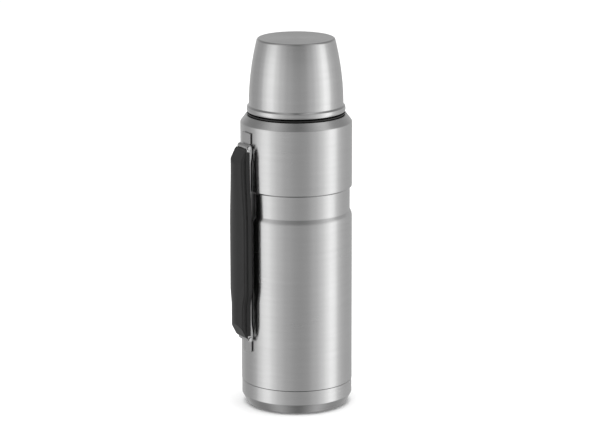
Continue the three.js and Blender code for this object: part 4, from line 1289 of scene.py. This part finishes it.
class FLASK_OT_grip(bpy.types.Operator):
    """The grip: hard inner frame and the soft cover moulded over it"""

    bl_idname = "flask.grip"
    bl_label = "Grip"

    def execute(self, context):
        self.cover()
        self.frame()
        return {"FINISHED"}

    def cover(self):
        """Soft cover: outer face, rounded long edges, side skirts, and a hollow for the core."""
        h = handle_sizes()
        middle = handle_middle()
        wall_end, core_end, reach = 80.2 * MM, 77.3 * MM, 82.4 * MM
        shape = Grip(grip_heights(middle, reach, (wall_end, core_end)))
        fillet = 1.2 * MM
        skirt = h.part_line + 0.3 * MM
        bottom = np.where(shape.away < wall_end, skirt, 53.2 * MM)
        curve = np.sin(np.linspace(0, math.pi / 2, 9))[1:]
        shoulder = 1 - (fillet / h.end_half) * (1 - curve)
        lead = np.concatenate([-shoulder[::-1], np.linspace(-1, 1, 25) * (1 - fillet / h.end_half), shoulder])
        across, out = shape.top(lead[None, :], fillet)
        out = np.maximum(out, bottom[:, None])
        rows = len(shape.z)
        side_low = np.stack([shape.half, bottom], -1)[:, None]
        top_half = np.stack([across, out], -1)
        thin = 0.8 * MM
        hollow = (shape.away < core_end)[:, None]
        inner_half = np.where(shape.away < core_end, shape.half - thin, shape.half * 0.9)[:, None]
        lead_in = np.linspace(1, -1, 21)[None, :]
        inner_across = lead_in * inner_half
        _, roof = shape.top(np.broadcast_to(lead_in, (rows, 21)), fillet, thin)
        roof = np.minimum(roof, 58.3 * MM)
        roof = np.where(hollow, np.maximum(roof, bottom[:, None] + 0.05 * MM), bottom[:, None])
        first = np.stack([inner_half[:, 0], bottom], -1)[:, None]
        last = np.stack([-inner_half[:, 0], bottom], -1)[:, None]
        inside = np.concatenate([first, np.stack([inner_across, roof], -1), last], 1)
        left_low = side_low * np.array([-1, 1])
        loop = np.concatenate([left_low, top_half, side_low, inside], 1)
        z = np.broadcast_to(shape.z[:, None], loop.shape[:2])
        piece = solid("grip_sleeve", lofted(np.stack([-loop[..., 1], -loop[..., 0], z], -1)))
        finish_piece(piece, "grip", "soft_grip", ["grip_cover"])

    def frame(self):
        """Hard frame: side walls up to the part line, the core above, the legs' hollow below.

        The hollow is a channel: wide at the ends for the legs' roots and deeper towards the
        middle for their tips, with a shallow slot in each side for the slide pins.
        """
        h = handle_sizes()
        middle = handle_middle()
        wall_end, core_end = 79.9 * MM, 77 * MM
        slot = sorted(h.pivot_up - along for along in (39.3 * MM, 24.4 * MM))
        marks = (62 * MM, 58 * MM, core_end, slot[0], slot[1])
        shape = Grip(grip_heights(middle, wall_end, marks))
        away = shape.away
        low = np.full_like(away, 50.4 * MM)
        step_in = 1.1 * MM
        line = np.full_like(away, h.part_line)
        lip = h.part_line + 0.02 * MM
        core = np.where(away < core_end, np.minimum(shape.edge - 1.1 * MM, 57.9 * MM), lip)
        core = np.minimum(core, np.maximum(shape.limit - 1.2 * MM, lip))
        root_half, tip_half = 8.6 * MM, 7.8 * MM
        near_root = smooth_step(away, 61.7 * MM, 62.0 * MM)
        hollow_half = tip_half + (root_half - tip_half) * near_root
        roof = 57.3 * MM + (54.8 - 57.3) * MM * near_root
        roof = np.minimum(roof, core - 0.4 * MM)
        roof = np.maximum(roof, low + MM)
        in_slot = (away > slot[0]) & (away < slot[1])
        slot_half = hollow_half + np.where(in_slot, 0.3 * MM, 0.01 * MM)
        slot_low, slot_high = 52.35 * MM, np.minimum(56.55 * MM, roof - 0.3 * MM)
        inner = shape.half - step_in
        soft = 0.35 * MM
        right = [
            (shape.half - soft, low), (shape.half, low + soft), (shape.half, line - 0.15 * MM),
            (shape.half - 0.15 * MM, line), (inner, line), (inner, core - 0.8 * MM), (inner - 0.8 * MM, core),
        ]
        hollow = [
            (hollow_half + soft, low), (hollow_half, low + soft), (hollow_half, slot_low),
            (slot_half, slot_low), (slot_half, slot_high), (hollow_half, slot_high),
            (hollow_half, roof - 0.4 * MM), (hollow_half - 0.4 * MM, roof),
        ]
        rows = len(away)

        def column(pairs, sign):
            return np.stack(
                [np.stack([sign * (x + np.zeros(rows)), y + np.zeros(rows)], -1) for x, y in pairs], 1)

        loop = np.concatenate([
            column(right, 1), column(right[::-1], -1), column(hollow, -1), column(hollow[::-1], 1)], 1)
        z = np.broadcast_to(shape.z[:, None], loop.shape[:2])
        piece = solid("grip_chassis", lofted(np.stack([-loop[..., 1], -loop[..., 0], z], -1)))
        flat_shading(piece, 35)
        finish_piece(piece, "grip", "handle_plastic", ["grip_frame"])


def flat_shading(piece, degrees):
    """Marks edges sharper than an angle, so that flats meet in a crisp edge."""
    piece.data.set_sharp_from_angle(angle=math.radians(degrees))


# ------------------------------------------------------------------ stage


class FLASK_OT_stage(bpy.types.Operator):
    """Camera, pale floor and soft studio light"""

    bl_idname = "flask.stage"
    bl_label = "Camera and studio"

    def execute(self, context):
        stage = context.scene.flask_stage
        self.camera(context, stage)
        self.floor(stage)
        self.light(stage)
        self.surroundings(context, stage)
        context.scene.view_settings.view_transform = "Standard"
        return {"FINISHED"}

    def camera(self, context, stage):
        """Camera on a sphere round its aim point, then turned and rolled by small trims."""
        azimuth, pitch = math.radians(stage.azimuth), math.radians(stage.pitch)
        level = math.cos(pitch)
        forward = Vector((-math.sin(azimuth) * level, math.cos(azimuth) * level, -math.sin(pitch)))
        right = Vector((math.cos(azimuth), math.sin(azimuth), 0))
        up = right.cross(forward)
        place = Vector((0, 0, stage.aim_height)) - forward * stage.distance
        turned_forward = forward * math.cos(stage.yaw_trim) - right * math.sin(stage.yaw_trim)
        turned_right = right * math.cos(stage.yaw_trim) + forward * math.sin(stage.yaw_trim)
        c, s = math.cos(stage.roll_trim), math.sin(stage.roll_trim)
        x = turned_right * c + up * s
        y = up * c - turned_right * s
        data = bpy.data.cameras.new("camera")
        data.sensor_width = 36
        data.lens = stage.lens
        data.clip_end = 100
        made = bpy.data.objects.new("camera", data)
        made.matrix_world = Matrix((
            (x[0], y[0], -turned_forward[0], place[0]),
            (x[1], y[1], -turned_forward[1], place[1]),
            (x[2], y[2], -turned_forward[2], place[2]),
            (0, 0, 0, 1),
        ))
        context.scene.collection.objects.link(made)
        context.scene.camera = made

    def floor(self, stage):
        """Pale floor that takes soft shadows and stays out of the steel's reflections."""
        half = stage.floor_half
        corners = [(-half, -half, 0), (half, -half, 0), (half, half, 0), (-half, half, 0)]
        mesh = bpy.data.meshes.new("floor")
        mesh.from_pydata(corners, [], [(0, 1, 2, 3)])
        made = bpy.data.objects.new("floor", mesh)
        bpy.context.scene.collection.objects.link(made)
        tree, shader, pale = material("floor_paper", PAPER, 0.9)
        soft = use_group(tree, "smudges", Vector=object_coordinates(tree), Scale=3.0)
        shade_between(tree, shader, soft["Patches"], PAPER, 0.99, 1.01)
        mesh.materials.append(pale)
        made.visible_glossy = False

    def light(self, stage):
        """One large soft light overhead, for the floor and the black pieces."""
        data = bpy.data.lights.new("overhead", "AREA")
        data.shape = "SQUARE"
        data.size = 4.0
        data.energy = stage.top_light
        made = bpy.data.objects.new("overhead", data)
        made.location = (0, 0, 3.2)
        made.visible_glossy = False
        bpy.context.scene.collection.objects.link(made)

    def surroundings(self, context, stage):
        """Studio seen in the steel: tall soft panels to the left and right of a dim room.

        The brightness is a curve of the direction round the flask, counted from the side
        that the camera is on, and it falls towards straight up and straight down.
        """
        world = bpy.data.worlds.new("studio")
        world.use_nodes = True
        tree = world.node_tree
        tree.nodes.clear()
        direction = tree.nodes.new("ShaderNodeTexCoord").outputs["Generated"]
        azimuth = math.radians(stage.azimuth)
        front = (math.sin(azimuth), -math.cos(azimuth), 0)
        right = (math.cos(azimuth), math.sin(azimuth), 0)

        def part_along(axis):
            node = tree.nodes.new("ShaderNodeVectorMath")
            node.operation = "DOT_PRODUCT"
            node.inputs[1].default_value = axis
            tree.links.new(direction, node.inputs[0])
            return node.outputs["Value"]

        around = math_node(tree, "ARCTAN2", part_along(right), part_along(front))
        around = map_range(tree, around, -math.pi, math.pi, 0.0, 1.0)
        panels = self.ramp(tree, around, PANELS, 180)
        lean = map_range(tree, part_along((0, 0, 1)), -1.0, 1.0, 0.0, 1.0)
        fall = self.ramp(tree, lean, FALL, 1)
        seen = math_node(tree, "MULTIPLY", math_node(tree, "MULTIPLY", panels, fall), 2.0)
        path = tree.nodes.new("ShaderNodeLightPath")
        strength = tree.nodes.new("ShaderNodeMix")
        strength.data_type = "FLOAT"
        tree.links.new(path.outputs["Is Camera Ray"], strength.inputs["Factor"])
        tree.links.new(seen, strength.inputs["A"])
        strength.inputs["B"].default_value = 1.0
        shine = tree.nodes.new("ShaderNodeBackground")
        tree.links.new(strength.outputs["Result"], shine.inputs["Strength"])
        output = tree.nodes.new("ShaderNodeOutputWorld")
        tree.links.new(shine.outputs[0], output.inputs["Surface"])
        context.scene.world = world

    def ramp(self, tree, value, stops, span):
        """Curve through (place, brightness) stops, where places run from -span to span."""
        node = tree.nodes.new("ShaderNodeValToRGB")
        node.color_ramp.interpolation = "EASE"
        stops = [((place + span) / (2 * span), level / 2) for place, level in stops]
        elements = node.color_ramp.elements
        while len(elements) < len(stops):
            elements.new(0.5)
        for element, (place, level) in zip(elements, stops):
            element.position = place
            element.color = (level, level, level, 1)
        tree.links.new(value, node.inputs[0])
        return math_node(tree, "MULTIPLY", node.outputs["Color"], 2.0)


# Brightness round the flask: degrees from the camera's side, to its left below 0.
PANELS = (
    (-180, 0.32), (-165, 0.33), (-150, 0.33), (-130, 0.285), (-112, 0.29), (-98, 0.365), (-84, 0.588),
    (-72, 0.74), (-62, 0.768), (-50, 0.593), (-38, 0.459), (-20, 0.345), (0, 0.28), (8, 0.268), (20, 0.285),
    (40, 0.405), (55, 0.555), (66, 0.735), (76, 0.9), (86, 0.83), (98, 0.49), (110, 0.39), (125, 0.337),
    (145, 0.32), (165, 0.3), (180, 0.32),
)
# Share of that brightness by the direction's lean: -1 is straight down and 1 straight up.
FALL = (
    (-1.0, 0.4), (-0.85, 0.48), (-0.6, 0.75), (-0.42, 1.0), (0.1, 1.0), (0.235, 0.8),
    (0.45, 0.62), (0.6, 0.56), (0.87, 0.54), (1.0, 0.45),
)


# ------------------------------------------------------------------ panel and running


class FLASK_PT_panel(bpy.types.Panel):
    """Lists the steps that build the flask"""

    bl_label = "Vacuum flask"
    bl_idname = "FLASK_PT_panel"
    bl_space_type = "VIEW_3D"
    bl_region_type = "UI"
    bl_category = "Flask"

    def draw(self, context):
        for operator in OPERATORS:
            self.layout.operator(operator.bl_idname, text=operator.bl_label)


GROUPS = {
    "flask_sizes": FlaskSizes,
    "flask_handle": HandleSizes,
    "flask_finishes": Finishes,
    "flask_stage": StageSizes,
}
OPERATORS = (
    FLASK_OT_finishes,
    FLASK_OT_stage,
    FLASK_OT_shell,
    FLASK_OT_base,
    FLASK_OT_collar,
    FLASK_OT_vessel,
    FLASK_OT_cup,
    FLASK_OT_stopper,
    FLASK_OT_mounting,
    FLASK_OT_legs,
    FLASK_OT_grip,
)


def register():
    for cls in (*GROUPS.values(), *OPERATORS, FLASK_PT_panel):
        bpy.utils.register_class(cls)
    for name, cls in GROUPS.items():
        setattr(bpy.types.Scene, name, PointerProperty(type=cls))


def unregister():
    for name in GROUPS:
        delattr(bpy.types.Scene, name)
    for cls in (FLASK_PT_panel, *reversed(OPERATORS), *reversed(list(GROUPS.values()))):
        bpy.utils.unregister_class(cls)


def main():
    """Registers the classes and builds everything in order."""
    register()
    for operator in OPERATORS:
        getattr(bpy.ops.flask, operator.bl_idname.split(".")[1])()


if __name__ == "__main__":
    main()
